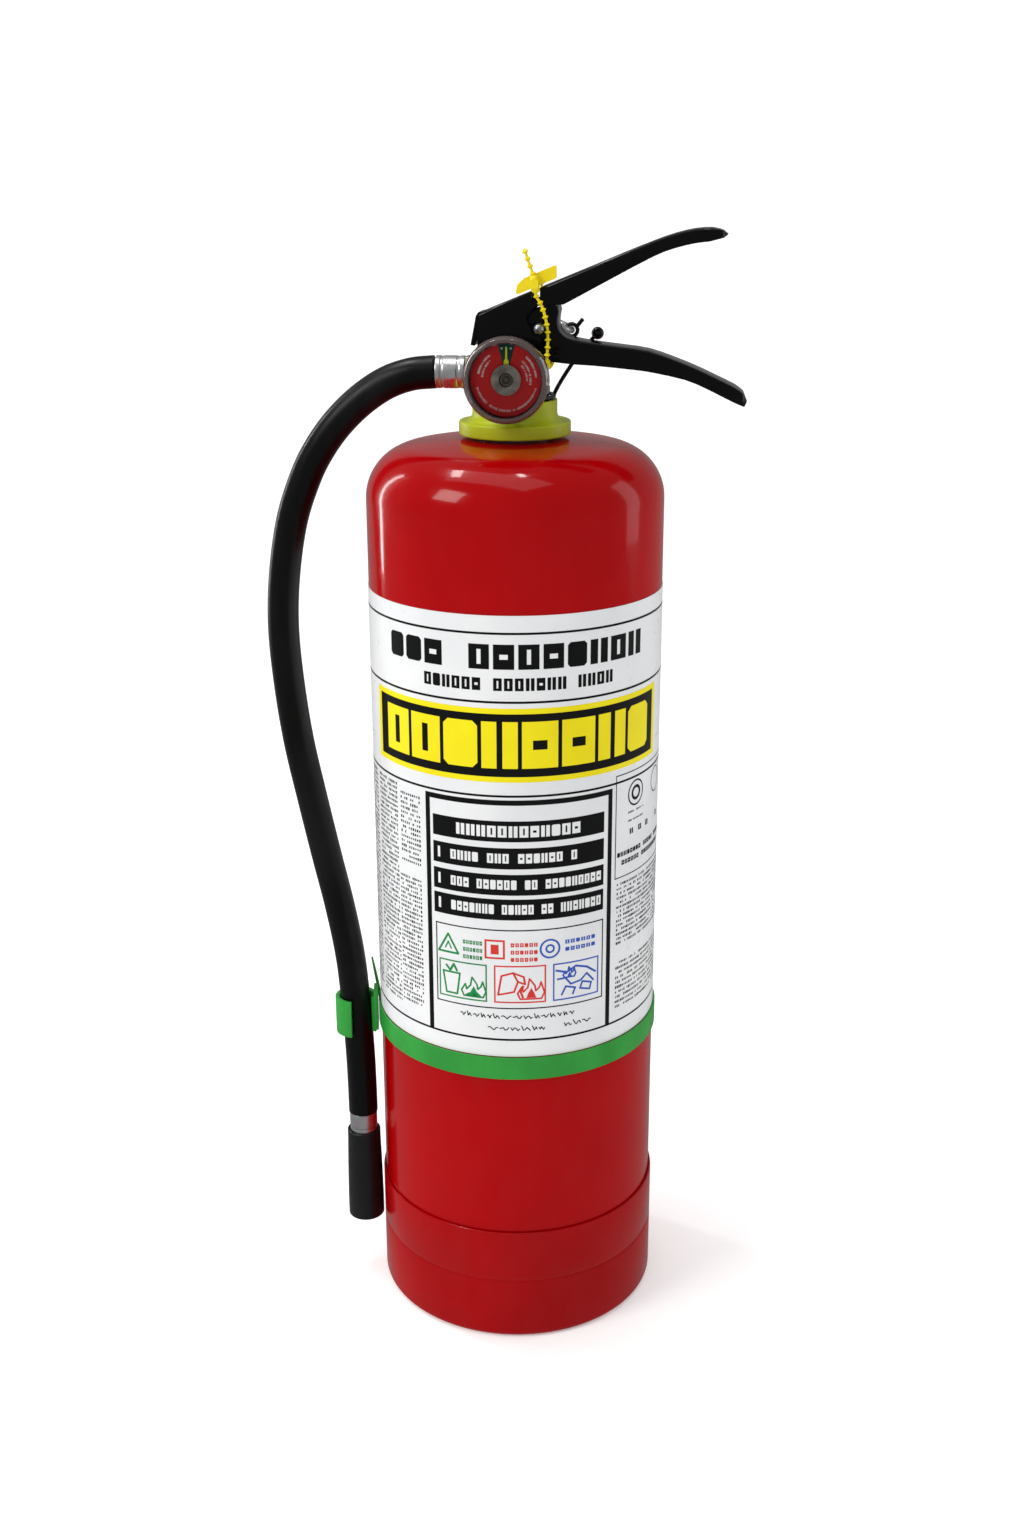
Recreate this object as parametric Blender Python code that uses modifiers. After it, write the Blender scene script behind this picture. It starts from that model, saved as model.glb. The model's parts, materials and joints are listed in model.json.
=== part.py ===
"""A 4.5 kg stored-pressure dry powder fire extinguisher, as separate solids in metres, +Z up.

Everything is modelled about the tank's own axis, and the empty "extinguisher" carries it all to where the
middle of the box round everything but the hose stands on the origin.  Run it from Blender's text editor, or
with blender --background --python part.py.
"""

import math

import bmesh
import bpy
from mathutils import Matrix, Vector

MM = 0.001
GAP = 0.3 * MM  # between pieces that touch
RUN = 0.5 * MM  # round what slides or turns

# The tank: a drawn steel tube with a dished head at each end.
TANK_R = 66.5 * MM
TANK_WALL = 1.5 * MM
TOP_TANGENT_Z = 397.0 * MM
TOP_RISE = 26.8 * MM
TOP_KNUCKLE_R = 23.6 * MM
BOTTOM_TANGENT_Z = 42.0 * MM
BOTTOM_RISE = 24.0 * MM
BOTTOM_KNUCKLE_R = 20.0 * MM
POWDER_TOP_Z = TOP_TANGENT_Z - 25.0 * MM

# Everything above the tank is drawn for a head whose top is at this height, and is lifted to the real one.
DRAWN_TOP_Z = 423.8 * MM
LIFT = TOP_TANGENT_Z + TOP_RISE - DRAWN_TOP_Z

# The foot: a sheet skirt round the tank's lower end.
FOOT_WALL = 0.9 * MM
FOOT_HEIGHT = 58.6 * MM
FOOT_BEAD_Z = 32.0 * MM
FOOT_CORNER_R = 3.5 * MM
FOOT_FLANGE = 3.8 * MM

# The label and the plastic band under it.
LABEL_TOP_Z = TOP_TANGENT_Z - 38.7 * MM
LABEL_THICK = 0.15 * MM
LABEL_WRAP = math.radians(320.0)
LABEL_FACES = math.radians(-83.0)  # the middle of the label, from +X
BAND_TOP_Z = 151.6 * MM
BAND_HEIGHT = 11.0 * MM
BAND_THICK = 1.0 * MM
TAIL_ANGLE = math.radians(184.6)
TAIL_TOP_Z = 169.5 * MM

# The neck, its loose service collar and the valve body.
NECK_BORE_R = 12.8 * MM
NECK_OUTER_R = 16.4 * MM
NECK_TOP_Z = 438.5 * MM + LIFT
COLLAR_BOTTOM_Z = 424.6 * MM + LIFT
COLLAR_FLANGE = 6.0 * MM
COLLAR_FLANGE_R = 24.7 * MM
COLLAR_R = 18.7 * MM
COLLAR_TOP_Z = 439.8 * MM + LIFT
NECK_SEAL_R = 1.2 * MM
VALVE_FLANGE_R = 15.5 * MM
VALVE_BOTTOM_Z = 412.0 * MM + LIFT
PORT_Z = 451.0 * MM + LIFT  # the axes of the gauge port and of the outlet
BLOCK_HALF_Y = 6.7 * MM
BLOCK_X = (-15.0 * MM, 9.4 * MM)
BLOCK_TOP_Z = 469.0 * MM + LIFT
GAUGE_BOSS = (6.8 * MM, 14.0 * MM)  # radius, and how far it reaches from the axis
OUTLET_BOSS = (7.2 * MM, 15.9 * MM)
CHAMBER_R = 7.0 * MM
SEAT_Z = 437.0 * MM + LIFT
PORT_BORE_R = 4.2 * MM
STEM_R = 2.5 * MM
STEM_TOP_Z = 480.3 * MM + LIFT
STEM_SEAL_Z = 466.0 * MM + LIFT
SPRING_R = 4.6 * MM
SPRING_WIRE_R = 0.55 * MM
SPRING_TURNS = 6
SIPHON_R = 6.0 * MM
SIPHON_WALL = 1.0 * MM
SIPHON_FOOT_GAP = 3.0 * MM

# The carry handle and the squeeze lever: pressed steel channels, one inside the other.
SHEET = 1.6 * MM
EAR_INNER_Y = BLOCK_HALF_Y + GAP
EAR_OUTER_Y = EAR_INNER_Y + SHEET
LEVER_INNER_Y = EAR_OUTER_Y + GAP
LEVER_OUTER_Y = LEVER_INNER_Y + SHEET
PIVOT = (-11.5 * MM, 460.0 * MM + LIFT)
LEVER_SWING = math.radians(11.0)
REAR_HEIGHT = 4.5 * MM  # above the pivot, where block and ears slope back from the lever's tongue
REAR_SLOPE = (2.9 * MM, 4.5 * MM)
HANDLE_RIVET = (6.1 * MM, 462.2 * MM + LIFT)
HANDLE_RIVET_R = 2.0 * MM
RIVET_R = 2.3 * MM
RIVET_HEAD_R = 3.8 * MM
HANDLE_TIP_X = 101.0 * MM
LEVER_TIP_X = 90.6 * MM
TIP_CORNER_R = 7.4 * MM
NOTCH_X = (8.5 * MM, 12.1 * MM)  # the slot across the lever's top that holds the seal tie
NOTCH_DEPTH = 4.0 * MM

# The safety pin, its ring, the tether and the seal tie.
PIN = (11.9 * MM, 470.6 * MM + LIFT)
PIN_R = 2.2 * MM
PIN_Y = (-16.2 * MM, 18.0 * MM)
RING_R = 11.0 * MM
RING_WIRE_R = 1.5 * MM
RING_TILT = math.radians(20.0)
TETHER_R = 0.9 * MM
TETHER_RING_R = 17.3 * MM
BALL_R = 2.75 * MM
TIE_R = 1.1 * MM
TIE_Y = LEVER_OUTER_Y + 1.6 * MM

# The pressure gauge, on an axis that points to -Y.
GAUGE_FRONT_Y = 34.2 * MM
GAUGE_R = 18.2 * MM
LENS_WALL = 1.3 * MM
CASE_DEPTH = 11.0 * MM
CASE_WALL = 0.8 * MM
DIAL_THICK = 0.6 * MM
COIL_R = 6.4 * MM
POINTER_REACH = 13.6 * MM
GAUGE_STEM_R = 3.5 * MM
GAUGE_HEX_R = 6.4 * MM

# The hose and what is on it.
HOSE_R = 7.2 * MM
FERRULE_R = 7.1 * MM
FERRULE_LONG = 13.2 * MM
NIPPLE_HEX = 3.7 * MM
NIPPLE_BORE_R = 2.6 * MM
WASHER = 1.0 * MM
NOZZLE_AXIS = (-75.8 * MM, -14.8 * MM)
LOWER_FERRULE_TOP_Z = 89.4 * MM
LOWER_FERRULE_R = 6.8 * MM
NOZZLE_TOP_Z = 79.3 * MM
NOZZLE_BOTTOM_Z = 30.7 * MM
NOZZLE_R = 8.9 * MM
SOCKET_DEPTH = 15.0 * MM
CLIP_ANGLE = math.atan2(-14.5, -77.5)
CLIP_STANDOFF = 1.245 * MM  # from the band to the clip's own wall
CLIP_Z = (134.4 * MM, 153.1 * MM)
CLIP_BORE_R = HOSE_R + 0.9 * MM
CLIP_WALL = 2.0 * MM
HOSE_ROUTE = (  # in millimetres, from the upper ferrule down to the lower one
    (-35.1, 0.0, 451.0), (-46.0, 0.0, 449.8), (-57.4, 0.0, 445.8), (-69.0, 0.0, 438.2),
    (-79.6, -0.1, 428.2), (-88.3, -0.2, 416.8), (-95.2, -0.6, 404.0), (-102.3, -1.4, 384.0),
    (-106.6, -2.7, 359.0), (-107.8, -4.3, 335.0), (-105.9, -6.2, 309.0), (-102.0, -8.2, 281.0),
    (-96.3, -10.2, 254.0), (-90.1, -12.0, 226.0), (-84.0, -13.4, 199.0), (-79.6, -14.2, 173.0),
    (-77.5, -14.5, 146.0), (-76.3, -14.7, 122.0), (-75.9, -14.8, 104.0), (-75.8, -14.8, 89.7),
)

FOOT_R = TANK_R + GAP + FOOT_WALL
CLIP_R = CLIP_BORE_R + CLIP_WALL
CLIP_REACH = TANK_R + BAND_THICK + CLIP_STANDOFF + CLIP_R
CLIP_CENTRE = (CLIP_REACH * math.cos(CLIP_ANGLE), CLIP_REACH * math.sin(CLIP_ANGLE))
AXIS_X = (CLIP_R - CLIP_CENTRE[0] - HANDLE_TIP_X) / 2  # the tank's axis, from the middle of the box


def collection(name):
    """A new collection in the scene."""
    found = bpy.data.collections.new(name)
    bpy.context.scene.collection.children.link(found)
    return found


for old in list(bpy.data.objects):
    bpy.data.objects.remove(old, do_unlink=True)
PARTS = collection("fire_extinguisher")
CUTTERS = collection("cutters")


def finish(name, colour, roughness, metallic=0.0, alpha=1.0):
    """A Principled material."""
    made = bpy.data.materials.new(name)
    made.use_nodes = True
    shader = made.node_tree.nodes["Principled BSDF"]
    shader.inputs["Base Color"].default_value = (*colour, 1.0)
    shader.inputs["Roughness"].default_value = roughness
    shader.inputs["Metallic"].default_value = metallic
    shader.inputs["Alpha"].default_value = alpha
    return made


RED_ENAMEL = finish("red_enamel", (0.43, 0.0, 0.004), 0.15)
BLACK_ENAMEL = finish("black_enamel", (0.006, 0.006, 0.007), 0.2)
LABEL_VINYL = finish("label_vinyl", (0.85, 0.85, 0.86), 0.4)
GREEN_PLASTIC = finish("green_plastic", (0.03, 0.45, 0.07), 0.4)
LIME_PLASTIC = finish("lime_plastic", (0.58, 0.71, 0.02), 0.4)
YELLOW_PLASTIC = finish("yellow_plastic", (0.9, 0.72, 0.01), 0.4)
BLACK_PLASTIC = finish("black_plastic", (0.012, 0.012, 0.012), 0.45)
BLACK_RUBBER = finish("black_rubber", (0.012, 0.012, 0.013), 0.4)
SEAL_RUBBER = finish("seal_rubber", (0.01, 0.01, 0.01), 0.6)
NICKEL_BRASS = finish("nickel_brass", (0.62, 0.6, 0.55), 0.25, 1.0)
ALUMINIUM = finish("polished_aluminium", (0.8, 0.81, 0.82), 0.2, 1.0)
STEEL = finish("bright_steel", (0.55, 0.55, 0.55), 0.3, 1.0)
CHROME = finish("dark_chrome", (0.35, 0.34, 0.34), 0.15, 1.0)
DIAL_RED = finish("dial_red", (0.5, 0.0, 0.0), 0.4)
POINTER_YELLOW = finish("pointer_yellow", (0.75, 0.8, 0.02), 0.4)
CLEAR_PLASTIC = finish("clear_plastic", (0.9, 0.9, 0.9), 0.05, 0.0, 0.3)
POWDER = finish("pale_powder", (0.8, 0.78, 0.62), 0.9)


def link(obj, material=None):
    """Puts an object among the parts, or among the cutters when it has no material."""
    if material is None:
        CUTTERS.objects.link(obj)
        obj.hide_render = True
        obj.display_type = "WIRE"
    else:
        PARTS.objects.link(obj)
        obj.data.materials.clear()
        obj.data.materials.append(material)
    return obj


def turned(name, profile, material=None, at=(0, 0, 0), turn=(0, 0, 0), steps=32, closed=True):
    """A turned solid: its profile of (radius, height) runs down the outer side and up the inner one."""
    mesh = bpy.data.meshes.new(name)
    count = len(profile)
    edges = [(i, i + 1) for i in range(count - 1)] + ([(count - 1, 0)] if closed else [])
    mesh.from_pydata([(r, 0.0, z) for r, z in profile], edges, [])
    obj = link(bpy.data.objects.new(name, mesh), material)
    obj.location = at
    obj.rotation_euler = turn
    screw = obj.modifiers.new("turn", "SCREW")
    screw.steps = screw.render_steps = steps
    screw.use_merge_vertices = True
    screw.merge_threshold = 1e-6
    screw.use_smooth_shade = True
    return obj


def rod(name, r, z0, z1, material=None, at=(0, 0, 0), turn=(0, 0, 0), steps=24, chamfer=0.0):
    """A solid round bar from height z0 up to z1."""
    profile = [(0, z1), (r, z1), (r, z0), (0, z0)]
    if chamfer:
        profile = [(0, z1), (r - chamfer, z1), (r, z1 - chamfer), (r, z0 + chamfer), (r - chamfer, z0), (0, z0)]
    return turned(name, profile, material, at, turn, steps, closed=False)


def sleeve(name, outer, inner, z0, z1, material=None, at=(0, 0, 0), turn=(0, 0, 0), steps=32, chamfer=0.0):
    """A round ring or tube between two radii."""
    c = chamfer
    profile = [(outer - c, z1), (outer, z1 - c), (outer, z0 + c), (outer - c, z0), (inner, z0), (inner, z1)]
    if not c:
        profile = [(outer, z1), (outer, z0), (inner, z0), (inner, z1)]
    return turned(name, profile, material, at, turn, steps)


def as_mesh(curve, material):
    """The mesh object of a curve object, with its loose caps welded on."""
    graph = bpy.context.evaluated_depsgraph_get()
    mesh = bpy.data.meshes.new_from_object(curve.evaluated_get(graph))
    work = bmesh.new()
    work.from_mesh(mesh)
    bmesh.ops.remove_doubles(work, verts=work.verts, dist=1e-6)
    work.to_mesh(mesh)
    work.free()
    name, place = curve.name, curve.matrix_world.copy()
    bpy.data.objects.remove(curve, do_unlink=True)
    obj = link(bpy.data.objects.new(name, mesh), material)
    obj.matrix_world = place
    return obj


def prism(name, outline, low, high, material=None, upright=True, holes=()):
    """A flat outline made thick: (x, z) points from y = low to high, or (x, y) points from z = low to high."""
    data = bpy.data.curves.new(name, "CURVE")
    data.dimensions = "2D"
    data.fill_mode = "BOTH"
    data.extrude = (high - low) / 2
    for path in (outline, *holes):
        spline = data.splines.new("POLY")
        spline.points.add(len(path) - 1)
        for point, (x, y) in zip(spline.points, path):
            point.co = (x, y, 0.0, 1.0)
        spline.use_cyclic_u = True
    obj = bpy.data.objects.new(name, data)
    bpy.context.scene.collection.objects.link(obj)
    middle = (low + high) / 2
    if upright:
        obj.rotation_euler = (math.pi / 2, 0, 0)
        obj.location = (0, middle, 0)
    else:
        obj.location = (0, 0, middle)
    bpy.context.view_layer.update()
    made = as_mesh(obj, material)
    work = bmesh.new()
    work.from_mesh(made.data)
    bmesh.ops.dissolve_limit(work, angle_limit=math.radians(0.5), verts=work.verts, edges=work.edges)
    work.to_mesh(made.data)
    work.free()
    return made


def wire(name, points, radius, material=None, sides=2, cyclic=False):
    """A round wire through the points, as a mesh."""
    obj = wire_curve(name, points, radius, sides, cyclic)
    bpy.context.scene.collection.objects.link(obj)
    bpy.context.view_layer.update()
    return as_mesh(obj, material)


def wire_curve(name, points, radius, sides=2, cyclic=False):
    """A curve object with a round section and filled caps."""
    data = bpy.data.curves.new(name, "CURVE")
    data.dimensions = "3D"
    data.bevel_depth = radius
    data.bevel_resolution = sides
    data.use_fill_caps = True
    spline = data.splines.new("POLY")
    spline.points.add(len(points) - 1)
    for point, place in zip(spline.points, points):
        point.co = (*place, 1.0)
    spline.use_cyclic_u = cyclic
    return bpy.data.objects.new(name, data)


def box(name, low, high, material=None):
    """A box between two corners."""
    bpy.ops.mesh.primitive_cube_add(size=1.0)
    obj = bpy.context.object
    obj.name = name
    for old in list(obj.users_collection):
        old.objects.unlink(obj)
    for vertex in obj.data.vertices:
        vertex.co = Vector([(a + b) / 2 + (b - a) * c for a, b, c in zip(low, high, vertex.co)])
    return link(obj, material)


def ball(name, r, at, material=None):
    """A round ball."""
    bpy.ops.mesh.primitive_uv_sphere_add(segments=16, ring_count=10, radius=r, location=at)
    obj = bpy.context.object
    obj.name = name
    for old in list(obj.users_collection):
        old.objects.unlink(obj)
    return link(obj, material)


def change(obj, tool, how):
    """Cuts an object with a tool, joins the two, or keeps what they share."""
    boolean = obj.modifiers.new(tool.name, "BOOLEAN")
    boolean.object = tool
    boolean.operation = how
    boolean.solver = "EXACT"
    return obj


def cut(obj, tool):
    """Takes the tool's shape out of an object; a turned tool is spun a little, so that no two edges coincide."""
    if tool.modifiers and tool.modifiers[0].type == "SCREW":
        tool.rotation_euler.rotate_axis("Z", math.radians(4.0))
    return change(obj, tool, "DIFFERENCE")


def join(obj, tool):
    """Adds the tool's shape to an object."""
    return change(obj, tool, "UNION")


def bevel(obj, width, segments=2, angle=50.0):
    """Rounds an object's sharp edges."""
    made = obj.modifiers.new("bevel", "BEVEL")
    made.width = width
    made.segments = segments
    made.limit_method = "ANGLE"
    made.angle_limit = math.radians(angle)
    return obj


def round_along(obj, path, width, segments=3):
    """Rounds a prism's two long edges along part of its outline."""
    near = 2e-6
    chosen = {v.index for v in obj.data.vertices
              if any(abs(v.co.x - a) < near and abs(v.co.y - b) < near for a, b in path)}
    verts = obj.data.vertices
    weights = obj.data.attributes.new("bevel_weight_edge", "FLOAT", "EDGE")
    for edge in obj.data.edges:
        first, last = edge.vertices
        if first in chosen and last in chosen and abs(verts[first].co.z - verts[last].co.z) < near:
            weights.data[edge.index].value = 1.0
    made = obj.modifiers.new("bevel", "BEVEL")
    made.width = width
    made.segments = segments
    made.limit_method = "WEIGHT"
    return obj


def smooth(points, per=3):
    """A smooth curve through the points, with a few steps in each span."""
    knots = [Vector(p) for p in points]
    ends = [2 * knots[0] - knots[1], *knots, 2 * knots[-1] - knots[-2]]
    found = []
    for a, b, c, d in zip(ends, ends[1:], ends[2:], ends[3:]):
        for step in range(per):
            t = step / per
            found.append(0.5 * (2 * b + (c - a) * t + (2 * a - 5 * b + 4 * c - d) * t**2
                                + (3 * b - a - 3 * c + d) * t**3))
    return [tuple(p) for p in found] + [tuple(knots[-1])]


def millimetres(points):
    """Points given in millimetres, in metres."""
    return [tuple(c * MM for c in p) for p in points]


def at_head(points):
    """Points of a piece above the tank, given in millimetres, in metres and lifted to the head."""
    return [(*(c * MM for c in point[:-1]), point[-1] * MM + LIFT) for point in points]


def arc(centre, r, start, end, steps):
    """Points on an arc, by angles in degrees."""
    angles = [math.radians(start + (end - start) * i / steps) for i in range(steps + 1)]
    return [(centre[0] + r * math.cos(a), centre[1] + r * math.sin(a)) for a in angles]


def hole(centre, r):
    """A round hole in a prism's outline."""
    return arc(centre, r, 0, 337.5, 15)


def offset(path, distance):
    """A flat path moved to its right by a distance."""
    points = [Vector(p) for p in path]
    found = []
    for i, point in enumerate(points):
        along = (points[min(i + 1, len(points) - 1)] - points[max(i - 1, 0)]).normalized()
        found.append((point.x + along.y * distance, point.y - along.x * distance))
    return found


def polar(r, angle, z):
    """A point at a radius and an angle round the tank's axis."""
    return (r * math.cos(angle), r * math.sin(angle), z)


def dished(r, knuckle, rise, inset, r_end, knuckle_steps, crown_steps):
    """Half a dished head as (radius, height above the tangent line), from the tube to r_end, inset by a wall."""
    centre = r - knuckle
    crown = (centre**2 + rise**2 - knuckle**2) / (2 * (rise - knuckle))
    meet = math.atan2(crown - rise, centre)
    points = [(centre + (knuckle - inset) * math.cos(meet * i / knuckle_steps),
               (knuckle - inset) * math.sin(meet * i / knuckle_steps)) for i in range(knuckle_steps + 1)]
    last = math.acos(r_end / (crown - inset))
    for i in range(1, crown_steps + 1):
        a = meet + (last - meet) * i / crown_steps
        points.append(((crown - inset) * math.cos(a), rise - crown + (crown - inset) * math.sin(a)))
    return points


TO_FRONT = (math.pi / 2, 0, 0)  # turns +Z to -Y
TO_OUTLET = (0, -math.pi / 2, 0)  # turns +Z to -X


# The tank ------------------------------------------------------------------------------------------

def tank():
    """The pressure vessel, its foot skirt, the neck ring welded in its head, and the powder inside."""
    hole = NECK_OUTER_R + GAP
    top = dished(TANK_R, TOP_KNUCKLE_R, TOP_RISE, 0, hole, 6, 4)
    top_in = dished(TANK_R, TOP_KNUCKLE_R, TOP_RISE, TANK_WALL, hole, 4, 3)
    low = dished(TANK_R, BOTTOM_KNUCKLE_R, BOTTOM_RISE, 0, 0, 5, 3)
    low_in = dished(TANK_R, BOTTOM_KNUCKLE_R, BOTTOM_RISE, TANK_WALL, 0, 4, 3)
    profile = [(r, BOTTOM_TANGENT_Z - h) for r, h in reversed(low_in)]
    profile += [(r, TOP_TANGENT_Z + h) for r, h in top_in]
    profile += [(r, TOP_TANGENT_Z + h) for r, h in reversed(top)]
    profile += [(r, BOTTOM_TANGENT_Z - h) for r, h in low]
    turned("tank_shell", profile, RED_ENAMEL, steps=48, closed=False)

    inner = FOOT_R - FOOT_WALL
    bead, corner = 0.5 * MM, FOOT_CORNER_R
    outside = [(FOOT_R - 0.3 * MM, FOOT_HEIGHT), (FOOT_R, FOOT_HEIGHT - 0.5 * MM), (FOOT_R, FOOT_BEAD_Z + 2 * bead),
               (FOOT_R - bead, FOOT_BEAD_Z), (FOOT_R, FOOT_BEAD_Z - 2 * bead)]
    outside += arc((FOOT_R - corner, corner), corner, 0, -90, 3)
    flange_r = FOOT_R - corner - FOOT_FLANGE
    inside = [(flange_r, 0), (flange_r, FOOT_WALL)]
    inside += arc((FOOT_R - corner, corner), corner - FOOT_WALL, -90, 0, 3)
    inside += [(inner, FOOT_BEAD_Z - 2 * bead), (inner - bead, FOOT_BEAD_Z), (inner, FOOT_BEAD_Z + 2 * bead),
               (inner, FOOT_HEIGHT)]
    turned("foot_ring", outside + inside, RED_ENAMEL, steps=48)

    weld_r = NECK_OUTER_R + 2.6 * MM
    weld_z = TOP_TANGENT_Z + top_in[-1][1] - GAP - 1.0 * MM
    turned("neck_ring", [(NECK_OUTER_R - 0.6 * MM, NECK_TOP_Z), (NECK_OUTER_R, NECK_TOP_Z - 0.6 * MM),
                         (NECK_OUTER_R, weld_z), (weld_r, weld_z), (weld_r, weld_z - 2.5 * MM),
                         (NECK_BORE_R, weld_z - 2.5 * MM), (NECK_BORE_R, NECK_TOP_Z)], STEEL)

    r = TANK_R - TANK_WALL - GAP
    bed = dished(r, BOTTOM_KNUCKLE_R, BOTTOM_RISE, 0, SIPHON_R + GAP, 4, 2)
    foot = BOTTOM_TANGENT_Z + TANK_WALL + GAP
    turned("powder_charge", [(SIPHON_R + GAP, POWDER_TOP_Z), (r, POWDER_TOP_Z)]
           + [(q, foot - h) for q, h in bed], POWDER)


def label_and_band():
    """The printed label round the tank, and the plastic band that closes on it, with its pointed tail."""
    mesh = bpy.data.meshes.new("label_wrap")
    low = BAND_TOP_Z + GAP
    mesh.from_pydata([(TANK_R + GAP, 0, LABEL_TOP_Z), (TANK_R + GAP, 0, low)], [(0, 1)], [])
    label = link(bpy.data.objects.new("label_wrap", mesh), LABEL_VINYL)
    label.rotation_euler = (0, 0, LABEL_FACES - LABEL_WRAP / 2)
    screw = label.modifiers.new("wrap", "SCREW")
    screw.angle = LABEL_WRAP
    screw.steps = screw.render_steps = 44
    screw.use_merge_vertices = True
    screw.merge_threshold = 1e-6
    wall = label.modifiers.new("thickness", "SOLIDIFY")
    wall.thickness = LABEL_THICK
    wall.offset = 1.0

    inner = TANK_R + GAP
    band = sleeve("clip_band", inner + BAND_THICK, inner, BAND_TOP_Z - BAND_HEIGHT, BAND_TOP_Z, GREEN_PLASTIC,
                  steps=48, chamfer=0.3 * MM)
    root = polar(inner + 0.7 * MM, TAIL_ANGLE, BAND_TOP_Z - 4 * MM)
    knee = polar(inner + LABEL_THICK + 1.7 * MM, TAIL_ANGLE, BAND_TOP_Z + 4 * MM)
    tip = polar(inner + 4.2 * MM, TAIL_ANGLE, TAIL_TOP_Z)
    join(band, wire("tail", [root, knee, tip], 0.8 * MM))


# The valve -----------------------------------------------------------------------------------------

def neck_fittings():
    """The service collar that hangs loose round the neck, and the neck's rubber seal."""
    flange_z = COLLAR_BOTTOM_Z + COLLAR_FLANGE
    fillet = arc((COLLAR_R + 3.6 * MM, flange_z + 3.6 * MM), 3.6 * MM, 180, 270, 4)
    turned("service_collar",
           [(COLLAR_R - 0.5 * MM, COLLAR_TOP_Z), (COLLAR_R, COLLAR_TOP_Z - 0.5 * MM)] + fillet
           + [(COLLAR_FLANGE_R - 1 * MM, flange_z), (COLLAR_FLANGE_R, flange_z - 1 * MM),
              (COLLAR_FLANGE_R, COLLAR_BOTTOM_Z + 0.6 * MM), (COLLAR_FLANGE_R - 0.6 * MM, COLLAR_BOTTOM_Z),
              (NECK_OUTER_R + RUN, COLLAR_BOTTOM_Z), (NECK_OUTER_R + RUN, COLLAR_TOP_Z)],
           LIME_PLASTIC, steps=40)
    middle = NECK_BORE_R + 0.3 * MM + NECK_SEAL_R
    turned("neck_seal", arc((middle, NECK_TOP_Z + GAP + NECK_SEAL_R), NECK_SEAL_R, 90, -270, 8)[:-1], SEAL_RUBBER)


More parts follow.
